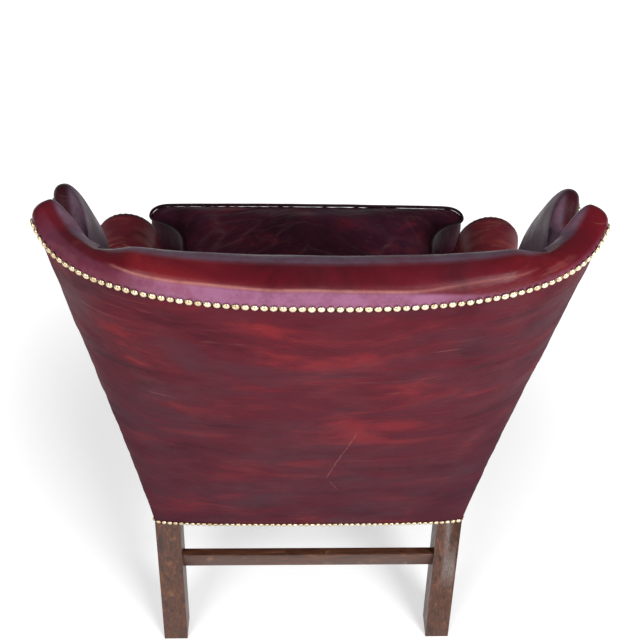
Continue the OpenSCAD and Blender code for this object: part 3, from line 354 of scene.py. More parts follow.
def add_slab(name, front, behind, material, **rest):
    """A closed skin between a grid of points and the grid behind it."""
    n, m = front.shape[:2]
    for key in VALUES:
        value = np.broadcast_to(rest.pop(key, 0.0), (n, m)).reshape(-1)
        if value.any():
            rest[key] = np.concatenate([value, value])
    return add_piece(name, np.concatenate([front.reshape(-1, 3), behind.reshape(-1, 3)]), slab_faces(n, m),
                     material, **rest)


def mirrored(half):
    """A grid of the +X half carried over to the other side."""
    return np.concatenate([half[:, :0:-1] * [-1, 1, 1], half], 1)


def rows_up(front):
    """Distance of each point along its row of a grid."""
    steps = np.linalg.norm(np.diff(front, axis=1), axis=2)
    return np.concatenate([np.zeros((len(front), 1)), np.cumsum(steps, axis=1)], 1)


def smooth_noise(p, size, seed):
    """Noise from -1 to 1 at each point of an array, with features about size mm across."""
    flat = np.asarray(p, float).reshape(-1, 3) / size + seed * 17.3
    return np.array([noise.noise(Vector(q)) for q in flat]).reshape(np.shape(p)[:-1])


# ---- materials
def linear(text):
    """A web colour such as 6b2533 as linear RGBA."""
    rgb = [int(text[k:k + 2], 16) / 255 for k in (0, 2, 4)]
    return [c / 12.92 if c <= 0.04045 else ((c + 0.055) / 1.055) ** 2.4 for c in rgb] + [1]


class Tree:
    """A node tree, with one short call to add and join a node."""

    def __init__(self, tree):
        self.tree = tree
        tree.nodes.clear()

    def add(self, kind, _out=None, **sockets):
        node = self.tree.nodes.new(kind)
        for key, value in sockets.items():
            if key.startswith("set_"):
                setattr(node, key[4:], value)
        for key, value in sockets.items():
            if not key.startswith("set_"):
                self.put(node.inputs[key.replace("_", " ")], value)
        return node if _out is None else node.outputs[_out]

    def put(self, socket, value):
        if isinstance(value, bpy.types.NodeSocket):
            self.tree.links.new(value, socket)
        else:
            socket.default_value = value

    def mix(self, share, a, b):
        node = self.add("ShaderNodeMix", set_data_type="RGBA")
        self.put(node.inputs[0], share)
        self.put(node.inputs[6], linear(a) if isinstance(a, str) else a)
        self.put(node.inputs[7], linear(b) if isinstance(b, str) else b)
        return node.outputs[2]

    def over(self, colour, tint, share, strength, clamp=False):
        """tint laid over a colour by a share times a strength."""
        return self.mix(self.maths("MULTIPLY", share, strength, clamp), colour, tint)

    def maths(self, way, a, b=0.0, clamp=False):
        node = self.add("ShaderNodeMath", set_operation=way, set_use_clamp=clamp)
        self.put(node.inputs[0], a)
        self.put(node.inputs[1], b)
        return node.outputs[0]


class Nodes(Tree):
    """A material's nodes round one surface shader."""

    def __init__(self, name):
        self.material = bpy.data.materials.new(name)
        self.material.use_nodes = True
        super().__init__(self.material.node_tree)
        self.shader = self.add("ShaderNodeBsdfPrincipled")
        self.add("ShaderNodeOutputMaterial", Surface=self.shader.outputs[0])
        self.coords = self.add("ShaderNodeTexCoord", "Object")

    def scaled(self, scale, turn=(0, 0, 0)):
        return self.add("ShaderNodeMapping", "Vector", Vector=self.coords, Scale=scale, Rotation=turn)

    def noise(self, vector, scale, detail=4, rough=0.55, bend=0.0):
        return self.add("ShaderNodeTexNoise", "Fac", Vector=vector, Scale=scale, Detail=detail,
                        Roughness=rough, Distortion=bend)

    def ramp(self, value, stops):
        node = self.add("ShaderNodeValToRGB", Fac=value)
        node.color_ramp.interpolation = "EASE"
        while len(node.color_ramp.elements) < len(stops):
            node.color_ramp.elements.new(0.5)
        for element, (place, colour) in zip(node.color_ramp.elements, stops):
            element.position = place
            element.color = linear(colour)
        return node.outputs["Color"]

    def span(self, value, low, high, to_low=0.0, to_high=1.0):
        return self.add("ShaderNodeMapRange", "Result", set_interpolation_type="SMOOTHSTEP", Value=value,
                        From_Min=low, From_Max=high, To_Min=to_low, To_Max=to_high)

    def attribute(self, name):
        return self.add("ShaderNodeAttribute", "Fac", set_attribute_name=name)

    def stroke(self, start, end, width=0.0007):
        """1 along a thin broken line between two places on the back, seen along y."""
        a, b = np.array(start), np.array(end)
        length = float(np.linalg.norm(b - a))
        along = (b - a) / length
        across = np.array([along[2], 0, -along[0]])
        offset = self.add("ShaderNodeVectorMath", set_operation="SUBTRACT")
        self.put(offset.inputs[0], self.coords)
        self.put(offset.inputs[1], a.tolist())
        shares = []
        for way in (along, across):
            dot = self.add("ShaderNodeVectorMath", set_operation="DOT_PRODUCT")
            self.put(dot.inputs[0], offset.outputs["Vector"])
            self.put(dot.inputs[1], way.tolist())
            shares.append(dot.outputs["Value"])
        wander = self.maths("MULTIPLY", self.maths("SUBTRACT", self.noise(self.coords, 30, 3), 0.5), 0.006)
        off = self.maths("ABSOLUTE", self.maths("ADD", shares[1], wander))
        inside = self.maths("MULTIPLY", self.span(shares[0], 0.0, 0.012),
                            self.span(shares[0], length - 0.008, length, 1, 0))
        line = self.maths("MULTIPLY", self.span(off, width * 0.4, width * 1.6, 0.75, 0), inside)
        return self.maths("MULTIPLY", line, self.span(self.noise(self.coords, 90, 2), 0.4, 0.55, 0.3, 1))

    def bump(self, *layers):
        """Bump layers of (height, distance in metres), one over the other."""
        normal = None
        for height, distance in layers:
            node = self.add("ShaderNodeBump", Height=height, Distance=distance, Strength=1.0)
            if normal:
                self.put(node.inputs["Normal"], normal)
            normal = node.outputs["Normal"]
        self.put(self.shader.inputs["Normal"], normal)

    def surface(self, colour, rough, **fixed):
        self.put(self.shader.inputs["Base Color"], colour)
        self.put(self.shader.inputs["Roughness"], rough)
        for key, value in fixed.items():
            self.shader.inputs[key.replace("_", " ")].default_value = value
        return self.material


def leather(name, tones, mottle_and_reflection, worn, stretch, level, rough, clouds, lines, line_scale=(9, 9, 150),
            strokes=()):
    """Aged, hand-rubbed oxblood leather: mottled dye, thin pale cracks and scratches, and painted light.

    tones are three dye colours, dark to bright, and level is the gloss. Three attributes paint single
    places: tone rubs the dye pale where it is above zero (wear, and a painted highlight line on the crest)
    and darkens it below (painted shade on the wing's lobes, and darker bands elsewhere); another lays a grey
    painted reflection and turns the gloss down there; the third is a painted lilac sheen beside the nails.
    strokes are scratches as pairs of places in metres."""
    n = Nodes(name)
    flow = n.scaled(stretch)
    dye = n.noise(flow, 7, 6, 0.6, 0.5)
    colour = n.ramp(dye, [(0.3, tones[0]), (0.5, tones[1]), (0.72, tones[2])])
    cloud = n.span(n.noise(n.scaled([1.3 * s for s in stretch]), 3.4, 5, 0.6, 0.4), 0.46, 0.68)
    colour = n.over(colour, mottle_and_reflection, cloud, clouds)
    fleck = n.span(n.noise(flow, 46, 4, 0.7), 0.56, 0.74)
    colour = n.over(colour, tones[2], fleck, 0.14)
    crack = n.span(n.noise(n.scaled(line_scale), 1.0, 3, 0.55), 0.6, 0.67)
    crack = n.maths("MULTIPLY", crack, n.span(n.noise(n.scaled((7, 7, 7)), 2.0, 4, 0.6), 0.48, 0.66))
    colour = n.over(colour, worn, crack, lines)
    scratch = n.span(n.noise(n.scaled((9, 9, 150), (0.5, 0.75, 0.2)), 1.0, 2, 0.4), 0.7, 0.76)
    scratch = n.maths("MULTIPLY", scratch, n.span(n.noise(n.coords, 5, 2), 0.52, 0.62))
    colour = n.over(colour, worn, scratch, 0.35)
    for start, end in strokes:
        colour = n.mix(n.stroke(start, end), colour, worn)
    # The lilac is the colour of a painted sheen, a reflection painted beside the nails; the near black is
    # painted shade
    lilac, shade_and_darkening = "945f7e", "1c0a10"
    breaks = n.span(n.noise(n.coords, 50, 5, 0.7), 0.3, 0.62, 0.6, 1.0)
    # Grey painted reflection, laid where its attribute asks
    colour = n.over(colour, mottle_and_reflection, n.attribute("bloom"), breaks, True)
    # Painted lilac sheen, a reflection painted beside the nails
    colour = n.over(colour, lilac, n.attribute("sheen"), breaks, True)
    # Pale where the tone is above zero (wear, and a painted highlight line on the crest); towards near black
    # below zero (painted shade on the wing's lobes, and darker bands elsewhere)
    tone = n.attribute("tone")
    colour = n.over(colour, worn, n.maths("MAXIMUM", tone, 0.0), breaks, True)
    colour = n.over(colour, shade_and_darkening, tone, -1.0, True)
    grain = n.add("ShaderNodeTexVoronoi", "Distance", set_feature="SMOOTH_F1", Vector=n.coords, Scale=620)
    n.bump((grain, 0.00018), (n.noise(n.coords, 240, 4, 0.6), 0.00025), (crack, -0.0003),
           (n.noise(n.scaled(stretch), 22, 4, 0.6, 0.5), 0.001))
    material = n.surface(colour, n.span(n.noise(n.coords, 14, 5, 0.6), 0.35, 0.65, *rough))
    # Where the grey painted reflection lies, the gloss is turned down
    n.put(n.shader.inputs["Specular IOR Level"], n.span(n.attribute("bloom"), 0, 0.9, level, 0.2 * level))
    return material


# Oxblood hide on the flat outside panels: level clouds of redder dye, little gloss against the pale floor
BACK_HIDE = leather("oxblood_hide_outside", ("40131d", "581b26", "80272d"), "4b2b35", "a4645f",
                    (1.0, 1.0, 2.5), level=0.05, rough=(0.55, 0.7), clouds=0.6, lines=0.12,
                    strokes=(((-0.0586, 0, 0.687), (-0.0191, 0, 0.509)),
                             ((-0.026, 0, 0.503), (-0.04, 0, 0.464))))
# The same hide pulled over the crest and wings, glossier from hands and heads
ROLL_HIDE = leather("oxblood_hide_rolled", ("460915", "5c0d1a", "781b20"), "705c6d", "cc8a80",
                    (1.2, 1.2, 1.6), level=0.16, rough=(0.34, 0.48), clouds=0.05, lines=0.1)
# Arm leather, cracked across the arm by years of wear
ARM_HIDE = leather("oxblood_hide_arms", ("480c18", "641a26", "7c2a2c"), "5a3540", "b07c5e",
                   (1.2, 2.0, 1.2), level=0.12, rough=(0.42, 0.56), clouds=0.12, lines=0.75,
                   line_scale=(34, 300, 16))
# The same leather in shade on the boards at the arms' fronts
FACING_HIDE = leather("oxblood_hide_facings", ("2c0a12", "3e121a", "541d22"), "40262f", "9a6a5c",
                      (2, 2, 2), level=0.25, rough=(0.42, 0.56), clouds=0.2, lines=0.2)
# Seat leather, nearly purple-brown with a few pale scuffs
SEAT_HIDE = leather("dark_seat_hide", ("2c0c1a", "3f1224", "6a1c28"), "4a2c40", "8e6668",
                    (1.6, 1.6, 1.6), level=0.07, rough=(0.46, 0.6), clouds=0.35, lines=0.2,
                    line_scale=(30, 40, 8))
# Welt cord covered in the darkest cut of the seat leather
WELT_HIDE = leather("dark_welt_hide", ("1b0a10", "2a111a", "3c1722"), "30202a", "6c4a4c",
                    (3, 3, 3), level=0.12, rough=(0.4, 0.55), clouds=0.1, lines=0.1)


def wood(name, tones, stretch, rough=(0.3, 0.5)):
    """Polished hardwood with its grain drawn out along the bar."""
    n = Nodes(name)
    along = n.scaled(stretch)
    figure = n.noise(along, 9, 6, 0.6, 1.2)
    colour = n.ramp(figure, [(0.3, tones[0]), (0.5, tones[1]), (0.72, tones[2])])
    pores = n.span(n.noise(n.scaled([4 * s for s in stretch]), 40, 3, 0.6), 0.58, 0.7)
    colour = n.over(colour, tones[0], pores, 0.6)
    knocks = n.span(n.noise(n.coords, 26, 5, 0.65), 0.6, 0.72)
    colour = n.over(colour, "9a6c4c", knocks, 0.4)
    n.bump((pores, -0.0002), (n.noise(n.coords, 30, 4, 0.6), 0.0006))
    return n.surface(colour, n.span(figure, 0.3, 0.7, *rough), Specular_IOR_Level=0.45)


# Old walnut, waxed: upright legs, then bars along x and along y
WALNUT = ("2b160e", "4f2e1f", "784a32")
WALNUT_UP = wood("walnut_waxed_upright", WALNUT, (14, 14, 1.6))
WALNUT_ACROSS = wood("walnut_waxed_across", WALNUT, (1.6, 14, 14))
WALNUT_ALONG = wood("walnut_waxed_along", WALNUT, (14, 1.6, 14))
# Plain beech of the hidden frame
BEECH = wood("beech_sawn", ("a37c52", "bb9466", "cfae82"), (10, 10, 2), (0.6, 0.75))


def metal(name, colours, rough, dents):
    n = Nodes(name)
    tint = n.attribute("tint")
    colour = n.mix(n.span(n.noise(n.coords, 160, 4, 0.6), 0.35, 0.65), colours[0], colours[1])
    colour = n.mix(tint, colour, colours[2])
    n.bump((n.noise(n.coords, 700, 3, 0.6), dents))
    return n.surface(colour, n.span(n.noise(n.coords, 260, 3), 0.3, 0.7, *rough), Metallic=1.0)


# Aged brass nail heads, cream where polished and tan where the lacquer has gone
BRASS = metal("aged_brass_nails", ("f1e6cb", "dfcda4", "a08355"), (0.26, 0.42), 0.0001)
ZIP_BRASS = metal("brass_zip", ("c9a866", "a98748", "8a6a3c"), (0.35, 0.5), 0.0001)
SPRING_STEEL = metal("spring_steel", ("8d8f94", "6e7076", "55565a"), (0.35, 0.55), 0.0001)


def woven(name, tones, threads, depth):
    """Plain-weave cloth: two sets of threads, one over the other."""
    n = Nodes(name)
    warp, weft, side = (n.add("ShaderNodeTexWave", "Fac", set_bands_direction=way, Vector=n.coords,
                              Scale=threads, Distortion=0.6) for way in "XZY")
    threads_up = n.maths("MAXIMUM", n.maths("MAXIMUM", warp, weft), side)
    colour = n.mix(threads_up, tones[0], tones[1])
    colour = n.mix(n.span(n.noise(n.coords, 40, 5, 0.7), 0.4, 0.7, 0, 0.5), colour, tones[2])
    n.bump((threads_up, depth))
    return n.surface(colour, n.span(n.noise(n.coords, 300, 2), 0.3, 0.7, 0.85, 0.95), Specular_IOR_Level=0.2)


# Jute sacking and webbing, black dust cloth, and the wadding inside the cushion
JUTE = woven("jute_sacking", ("8a7350", "b79c70", "6e5a3c"), 260, 0.0004)
DUST_CLOTH = woven("black_dust_cloth", ("0d0d0f", "1b1b1e", "232326"), 700, 0.0001)
DECK_CLOTH = woven("seat_deck_cloth", ("2a1416", "3b1d20", "2a1718"), 420, 0.0002)
WADDING = woven("cushion_wadding", ("cfc5b0", "e6dfcf", "bdb29c"), 90, 0.0012)


# ---- nail rows: places and outward directions
def path_lengths(p):
    return np.concatenate([[0], np.cumsum(np.linalg.norm(np.diff(p, axis=0), axis=1))])


def from_middle(p):
    """Distance of each point from the middle of its path, as a row."""
    run = path_lengths(p)
    return np.abs(run - run[-1] / 2)[None, :]


def unit(v):
    return v / np.linalg.norm(v, axis=-1, keepdims=True)


def nail_places(path, normals, pitch=nail_pitch):
    run = path_lengths(path)
    d = (np.arange(int(run[-1] // pitch)) + 0.5) * pitch
    place = np.stack([np.interp(d, run, path[:, k]) for k in range(3)], 1)
    out = np.stack([np.interp(d, run, normals[:, k]) for k in range(3)], 1)
    return place, unit(out)


def surface_normals(point_at, u, z):
    along = point_at(u + 0.5, z) - point_at(u - 0.5, z)
    return unit(np.cross(along, point_at(u, z + 0.5) - point_at(u, z - 0.5)))


def back_point(x, z, depth=0.0):
    return points(x, shell_y(x, z) - depth, z)


def outer_point(g, z):
    return wing_pt(np.maximum(g, 0), z, 0)


notch_x = float(pad_x(nail_z))
back_xs = np.linspace(0, notch_x, 90)
wing_s = np.linspace(0, 1, 500)
wing_g, wing_z = nail_line(wing_s)[1:].T
crown_path = np.concatenate([back_point(back_xs, nail_z), outer_point(wing_g, wing_z)])
crown_out = -np.concatenate([surface_normals(back_point, back_xs, nail_z),
                             surface_normals(outer_point, np.maximum(wing_g, 0.5), wing_z)])
crown_run = path_lengths(crown_path)
notch_run = float(crown_run[len(back_xs) - 1])
nail_run_of_s = np.concatenate([[notch_run], crown_run[len(back_xs):]])

border_corner, border_bulge, border_end_y = 14, 3, arm_y - fit


def border_line(z, depth, steps=(40, 10, 30)):
    """Half of the front border at one height, from the middle round the corner to the arm."""
    c = border_y + border_corner
    wide = float(side_x(c, z))
    swell = border_bulge * math.sin(math.pi * min(max((z - rail_z) / (deck_z - rail_z), 0), 1))
    t = np.linspace(0, 1, steps[0], endpoint=False)
    a = np.linspace(0, math.pi / 2, steps[1], endpoint=False)
    u = np.linspace(0, 1, steps[2])
    r = border_corner - depth
    return np.concatenate([
        points((wide - border_corner) * t, border_y + depth - swell, z),
        points(wide - border_corner + r * np.sin(a), c - r * np.cos(a) - swell * np.cos(a), z),
        side_pt(lerp(c, border_end_y, u), z, depth)])


def hem_line(z):
    xs = np.linspace(0, float(pad_x(z)), 60)
    gs = np.linspace(0, corner_run, 30)[1:]
    ys = lerp(float(corner_y(z)), border_end_y, np.linspace(0, 1, 60))[1:-1]
    return np.concatenate([back_point(xs, z), outer_point(gs, z), side_pt(ys, z, 0), border_line(z, 0)[::-1]])


hem_z = rail_z + hem_up
hem_path = hem_line(hem_z)
hem_tangent = np.gradient(hem_path, axis=0)
hem_out = np.cross(hem_line(hem_z + 1) - hem_line(hem_z - 1), hem_tangent)
hem_out /= np.maximum(np.linalg.norm(hem_out, axis=1, keepdims=True), 1e-9)


def arm_section(y, grow=0.0):
    """The arm's outline at y from the foot of its inner face over the scroll to the tuck below it."""
    cx, cz, h, out, inn = (float(v) for v in scroll_of(y))
    h, out, inn = h + grow, out + grow, inn + grow
    foot_x = lerp(arm_gap_x, rear_gap_x, float(arm_f(y))) - grow
    foot_z = deck_z + fit
    a = np.radians(np.linspace(180, -24, 52))
    arc = np.stack([cx + np.where(a > math.pi / 2, inn, out) * np.cos(a), cz + h * np.sin(a)], 1)
    inner = through([[foot_x, foot_z], [lerp(foot_x, cx - inn, 0.3), lerp(foot_z, cz, 0.5)],
                     [cx - inn, cz]], np.linspace(0, 1, 16, endpoint=False))
    return np.concatenate([inner, arc])


facing_t, facing_nail_in = 10, 8
facing_y = arm_y - fit


# ---- the padded back: face, roll over the crest, and the line where it is nailed
def face_in(z):
    foot, lip = deck_z + fit, nail_z - crest_lip
    t = np.clip((z - foot) / (lip - foot), 0, 1)
    return lerp(waist_t * through([0.9, 0.97, 1, 0.96, 0.84], t), head_t, t ** 3)


def face_y(share, z):
    return back_y(z) - face_in(z) - back_dish * share * share


def pucker(run, up, depth, reach):
    """Pull of each nail on the leather beside it: deepest at the nail, fading with distance."""
    return -depth * np.exp(-up / reach) * (0.5 + 0.5 * np.cos(2 * math.pi * (run / nail_pitch - 0.5)))


def crest_points(share, roll, reach=0.0):
    """The crest's roll; its ends carry on by reach along x so that no gap shows at the wings."""
    swell = ease((np.abs(share) - fall_share) / (1 - fall_share))
    ridge_z = nail_z + crest_rise * lerp(1, notch_rise_share, swell)
    ridge_in = crest_in * lerp(1, notch_in_share, share * share)
    lip_z = nail_z - crest_lip
    low = np.where(roll <= math.pi / 2, nail_z, lip_z)
    z = low + (ridge_z - low) * np.sin(roll)
    y_out = shell_y(share * pad_x(nail_z), z)
    deep = np.where(roll <= math.pi / 2, ridge_in * (1 - np.cos(roll)),
                    lerp(ridge_in, y_out - face_y(share, lip_z), -np.cos(roll)))
    carry = np.sign(share) * reach * ease((np.abs(share) - 0.97) / 0.03)
    return points(share * pad_x(z) + carry, y_out - deep, z)


def make_inside_back():
    share = np.linspace(-1, 1, 301)[:, None]
    lip_z = nail_z - crest_lip
    roll = np.radians(joined((0, 60, 22), (60, 180, 22)))[None, :]
    crest = crest_points(share, roll, seam_reach + 0.4)
    t = np.linspace(1, 0, 46)[None, 1:]
    fz = lerp(deck_z + fit, lip_z, t) + 0 * share
    face = points(share * pad_x(fz), face_y(share, fz), fz)
    front = np.concatenate([crest, face], 1)

    back_depth = lerp(skin_t + fit, pad_in, np.degrees(roll) / 180)
    hz = nail_z - ledge_fall + 0 * (share + roll)
    behind = np.concatenate([back_point(share * pad_x(hz), hz, back_depth),
                             back_point(share * pad_x(fz), fz, pad_in)], 1)

    out = outward_normals(front, behind)
    up = rows_up(front)
    run = share * notch_run
    lift = pucker(run, up, depth=1.1, reach=6.0)
    # Crease that wanders along the roll, and a lighter line beside it, partly a painted highlight on the
    # crease's edge and partly rubbed wear
    crease_up = 23 + 3.5 * smooth_noise(points(share * 300, 0, 0), size=70, seed=1) + 4 * np.abs(share) ** 3
    off = up - crease_up
    fade = 1 - ease((np.abs(share) - 0.86) / 0.1)
    lift += fade * (-0.6 * bell(off, 0, 2.6) + 0.3 * bell(off, 6, 5))
    lift += 0.9 * smooth_noise(front, size=55, seed=2) * bell(up, 60, 70)
    gathers = smooth_noise(points(share * 300, up * 0.25, 0), size=9, seed=4) * np.exp(-up / 22)
    lift += 0.45 * gathers * (1 - np.exp(-up / 3))
    lift = lift * (1 - ease((np.abs(share) - 0.95) / 0.045))
    front = front + out * lift[..., None]
    front[:, 0] = crest[:, 0]
    # The lighter line beside the crease: painted highlight and rubbed wear
    tone = 0.6 * bell(off, -1, 1.5) * fade * (1 - 0.6 * ease((-share - 0.25) / 0.3))
    # Painted sheen: a lilac reflection above the nails, wide across the middle and the sitter's left, narrow
    # to the right, with a thin bright edge at the nails
    wide = 0.4 + 0.6 * (1 - ease((-share - 0.3) / 0.45))
    strong = 1 - 0.8 * ease((share - 0.6) / 0.35) - 0.8 * ease((-share - 0.4) / 0.4)
    sheen = 0.95 * strong * (1 - ease((up - crease_up * wide + 5) / 5)) + 0.5 * np.exp(-up / 2.2)
    # Painted reflection greys the roll from just before its ridge over and down the inside face, less at its
    # ends
    ridge_up = up[:, np.argmax(roll[0] >= math.pi / 2)][:, None]
    bloom = 0.85 * ease((up - ridge_up + 3) / 9) * (1 - 0.35 * ease((up - 130) / 80))
    bloom = bloom * (1 - ease((np.abs(share) - 0.9) / 0.08) * (1 - ease((up - ridge_up - 6) / 14)))
    piece = add_slab("back_padding", front, behind, ROLL_HIDE, nodes=["inside_back"], slot="leather",
                     tone=tone, sheen=sheen, bloom=bloom)


def make_inside_wing(name, mirror):
    s = joined((0, 0.62, 230), (0.62, 1, 110))[:, None]
    roll = np.radians(np.linspace(0, 180, 34))[None, :]
    r, line = ridge(s[:, 0])[:, None, :], nail_line(s[:, 0])[:, None, :]
    to_line = line - r
    drop = np.linalg.norm(to_line, axis=-1, keepdims=True)
    n = to_line / drop
    foot = np.stack([0 * s[:, 0], crease_z(s[:, 0])], -1)[:, None, :]
    to_foot = foot - r
    reach = np.linalg.norm(to_foot, axis=-1, keepdims=True)
    fall = to_foot * np.minimum(inner_drop_share, inner_drop / reach)
    height = np.sin(roll)[..., None]
    edge = np.where(roll[..., None] <= math.pi / 2, r + n * drop * (1 - full(height)),
                    r + fall * (1 - bent(height)))
    rolled = wing_pt(edge[..., 0], edge[..., 1], roll_in(s, roll))
    start = crest_points(np.ones((1, 1)), roll) + [seam_reach, 0, 0]
    carried = (1 - ease(s / 0.09)) * (1 - ease((roll - 1.7) / 1.0))
    rolled = lerp(rolled, start + (rolled - rolled[:1]), carried[..., None])
    t = np.linspace(0, 1, 34)[None, 1:]
    q = r + fall
    inner = lerp(q, foot, t[..., None])
    face = wing_pt(np.maximum(inner[..., 0], 0), inner[..., 1], lerp(wing_t, wing_root_t, ease(t)) + 0 * s)
    front = np.concatenate([rolled, face], 1)
    ledge = line + n * ledge_fall
    hidden_depth = lerp(skin_t + fit, side_pad_in, np.degrees(roll) / 180)
    hidden = wing_pt(ledge[..., 0] + 0 * roll, ledge[..., 1] + 0 * roll, hidden_depth + 0 * s)
    down = lerp(line, foot, t[..., None])
    hidden_face = wing_pt(np.maximum(down[..., 0], 0), down[..., 1], side_pad_in + 0 * s)
    behind = np.concatenate([hidden, hidden_face], 1)

    out = outward_normals(front, behind)
    up = rows_up(front)
    run = np.interp(s, wing_s, nail_run_of_s)
    lift = pucker(run, up, depth=1.1, reach=6.0)
    # Small gathers where the leather turns the dip and the lobes
    turn = bell(s, 0.35, 0.06) + 0.7 * bell(s, 0.62, 0.07)
    gather = smooth_noise(points(run, up * 0.2, 0), size=8, seed=5)
    lift += gather * (0.35 + 0.9 * turn) * bell(up, 16, 16)
    lift += 1.0 * smooth_noise(front, size=60, seed=6) * bell(up, 70, 60)
    edge_fade = np.minimum(1, np.minimum(up / 2.5, (up[:, -1:] - up) / 8))
    front = front + out * (lift * edge_fade)[..., None]
    # The foot of the wing lies on the arm's dome and never in it
    for p in (front, behind):
        over = (p[..., 1] < arm_end_y + 2) & (p[..., 1] > arm_y)
        top = arm_top(p[..., 0], p[..., 1]) + 2 * fit
        p[..., 2] = np.where(over & (p[..., 2] < top), top, p[..., 2])
    ridge_up = up[:, np.argmax(roll[0] >= math.pi / 2)][:, None]
    # Painted reflection greys the wing from its ridge inward
    bloom = 0.9 * ease((up - ridge_up + 1 - 12 * (1 - ease(s / 0.06))) / 10)
    # The painted lilac sheen, a reflection painted beside the nails, runs on from the crest: wide on the
    # sitter's left, a thin line on the right
    lilac_up = 22 if mirror > 0 else 6
    sheen = 0.19 * (1 - ease((up - lilac_up) / 5)) * (1 - ease((s - 0.05) / 0.12))
    sheen = sheen + 0.5 * np.exp(-up / 2.2) * (1 - 0.6 * ease(s / 0.2))
    # Painted shade darkens the wing from the dip forward over its lobes, less inside the ridge
    tone = -0.75 * ease((s - 0.34) / 0.07) * (1 - 0.6 * ease((up - ridge_up) / 12))
    piece = add_slab("wing_padding_" + name, front, behind, ROLL_HIDE, mirror=mirror, slot="leather",
                     nodes=["inside_wing_" + name], sheen=sheen, bloom=bloom, tone=tone)


def make_arm(name, mirror):
    cut = wing_cut_y
    ys = np.concatenate([np.linspace(arm_y, cut - 0.4, 70), np.linspace(cut, arm_end_y, 34)])
    rings = []
    for y in ys:
        ring = arm_section(y)
        under = float(scroll_of(y)[1]) - under_drop
        x_wall = float(side_x(y, under))
        x_foot = float(side_x(y, deck_z + fit))
        tail = np.array([[lerp(ring[-1, 0], x_wall, 0.6), lerp(ring[-1, 1], under, 0.75)], [x_wall, under],
                         [x_wall - side_pad_in * 0.5, under], [x_wall - side_pad_in, under],
                         [x_foot - side_pad_in, deck_z + fit]])
        ring = np.concatenate([ring, tail])
        p = points(ring[:, 0], y, ring[:, 1])
        if y >= cut:
            p[:, 0] = np.minimum(p[:, 0], side_x(y, p[:, 2]) - side_pad_in + fit)
        rings.append(p)
    rings = np.array(rings)
    skin = len(arm_section(arm_y))
    out = grid_normals(rings)
    centre = points(float(scroll_of(0)[0]), rings[..., 1], float(scroll_of(0)[1]) - 20)
    if (out * (rings - centre)).sum() < 0:
        out = -out
    along = ys[:, None] - arm_y
    seat = np.arange(rings.shape[1])[None, :]
    fade = bell(seat, 40, 22) * ease(along / 6)
    wrinkle = smooth_noise(points(rings[..., 0] * 0.35, rings[..., 1], rings[..., 2] * 0.35), size=11, seed=8)
    lift = fade * (0.8 * wrinkle + 1.2 * smooth_noise(rings, size=60, seed=9))
    crush = ease((ys[:, None] - (cut - 40)) / 40) * (ys[:, None] < cut)
    lift = lift - 1.5 * crush * fade
    lift[:, skin - 2:] = 0
    rings = rings + out * lift[..., None]
    tone = 0.12 * fade * ease(wrinkle * 2) - 0.3 * ease((along - 150) / 120)
    piece = add_piece("arm_padding_" + name, rings, tube_faces(rings), ARM_HIDE, mirror=mirror,
                      nodes=["arm_pad_" + name], slot="leather", tone=tone)


# ---- outside panels, one hide each
def add_panel(name, front, behind, nodes, mirror=1, **values):
    piece = add_slab(name, front, behind, BACK_HIDE, mirror=mirror, nodes=nodes, slot="leather", sharp=40,
                     **values)


def make_outside_back():
    xs = np.linspace(0, 1, 100)
    gs = np.linspace(0, corner_run, 60)[1:]
    top_g = np.interp(gs, table_line[:first_fall, 0], table_line[:first_fall, 1])
    t = joined((0, 0.06, 10), (0.06, 0.95, 76), (0.95, 1, 16))[:, None]

    def layer(depth):
        z = lerp(rail_z, nail_z - panel_drop, t) + 0 * xs
        corner = wing_pt(gs + 0 * t, lerp(rail_z, top_g - panel_drop, t), depth)
        return mirrored(np.concatenate([back_point(pad_x(z) * xs, z, depth), corner], 1))

    front, behind = layer(0.0), layer(hide_t)
    out = outward_normals(front, behind)
    down = front[-1:, :, 2] - front[..., 2]
    rise = front[..., 2] - (rail_z + hem_up)
    lift = pucker(from_middle(front[-1]), down, depth=0.7, reach=5.0)
    lift += pucker(from_middle(front[0]), np.abs(rise), depth=0.7, reach=5.0)
    # The hide hangs in slack level waves between its two rows of nails
    level = front * [0.35, 0.35, 1.0]
    middle_fade = ease(down / 60) * ease(rise / 50)
    waves = 1.6 * smooth_noise(level, size=60, seed=11) + 0.7 * smooth_noise(level, size=18, seed=12)
    lift += waves * middle_fade
    end = np.arange(front.shape[1])
    lift = lift * ease(np.minimum(end, end[::-1]) / 6)
    front = front + out * lift[..., None]
    tone = -0.35 * bell(down, 3, 3) - 0.15 * np.exp(-np.maximum(rise, 0) / 10)
    side = np.abs(front[..., 0]) / half_w(front[..., 2])
    # Painted reflection greys the hide towards the bottom and towards its rounded sides, clear of the top row
    bloom = 0.5 * ease(down / 560) + 0.35 * ease((side - 0.6) / 0.4) * ease(down / 60)
    add_panel("outside_back_hide", front, behind, ["outside_back"], tone=tone, bloom=np.clip(bloom, 0, 0.8))


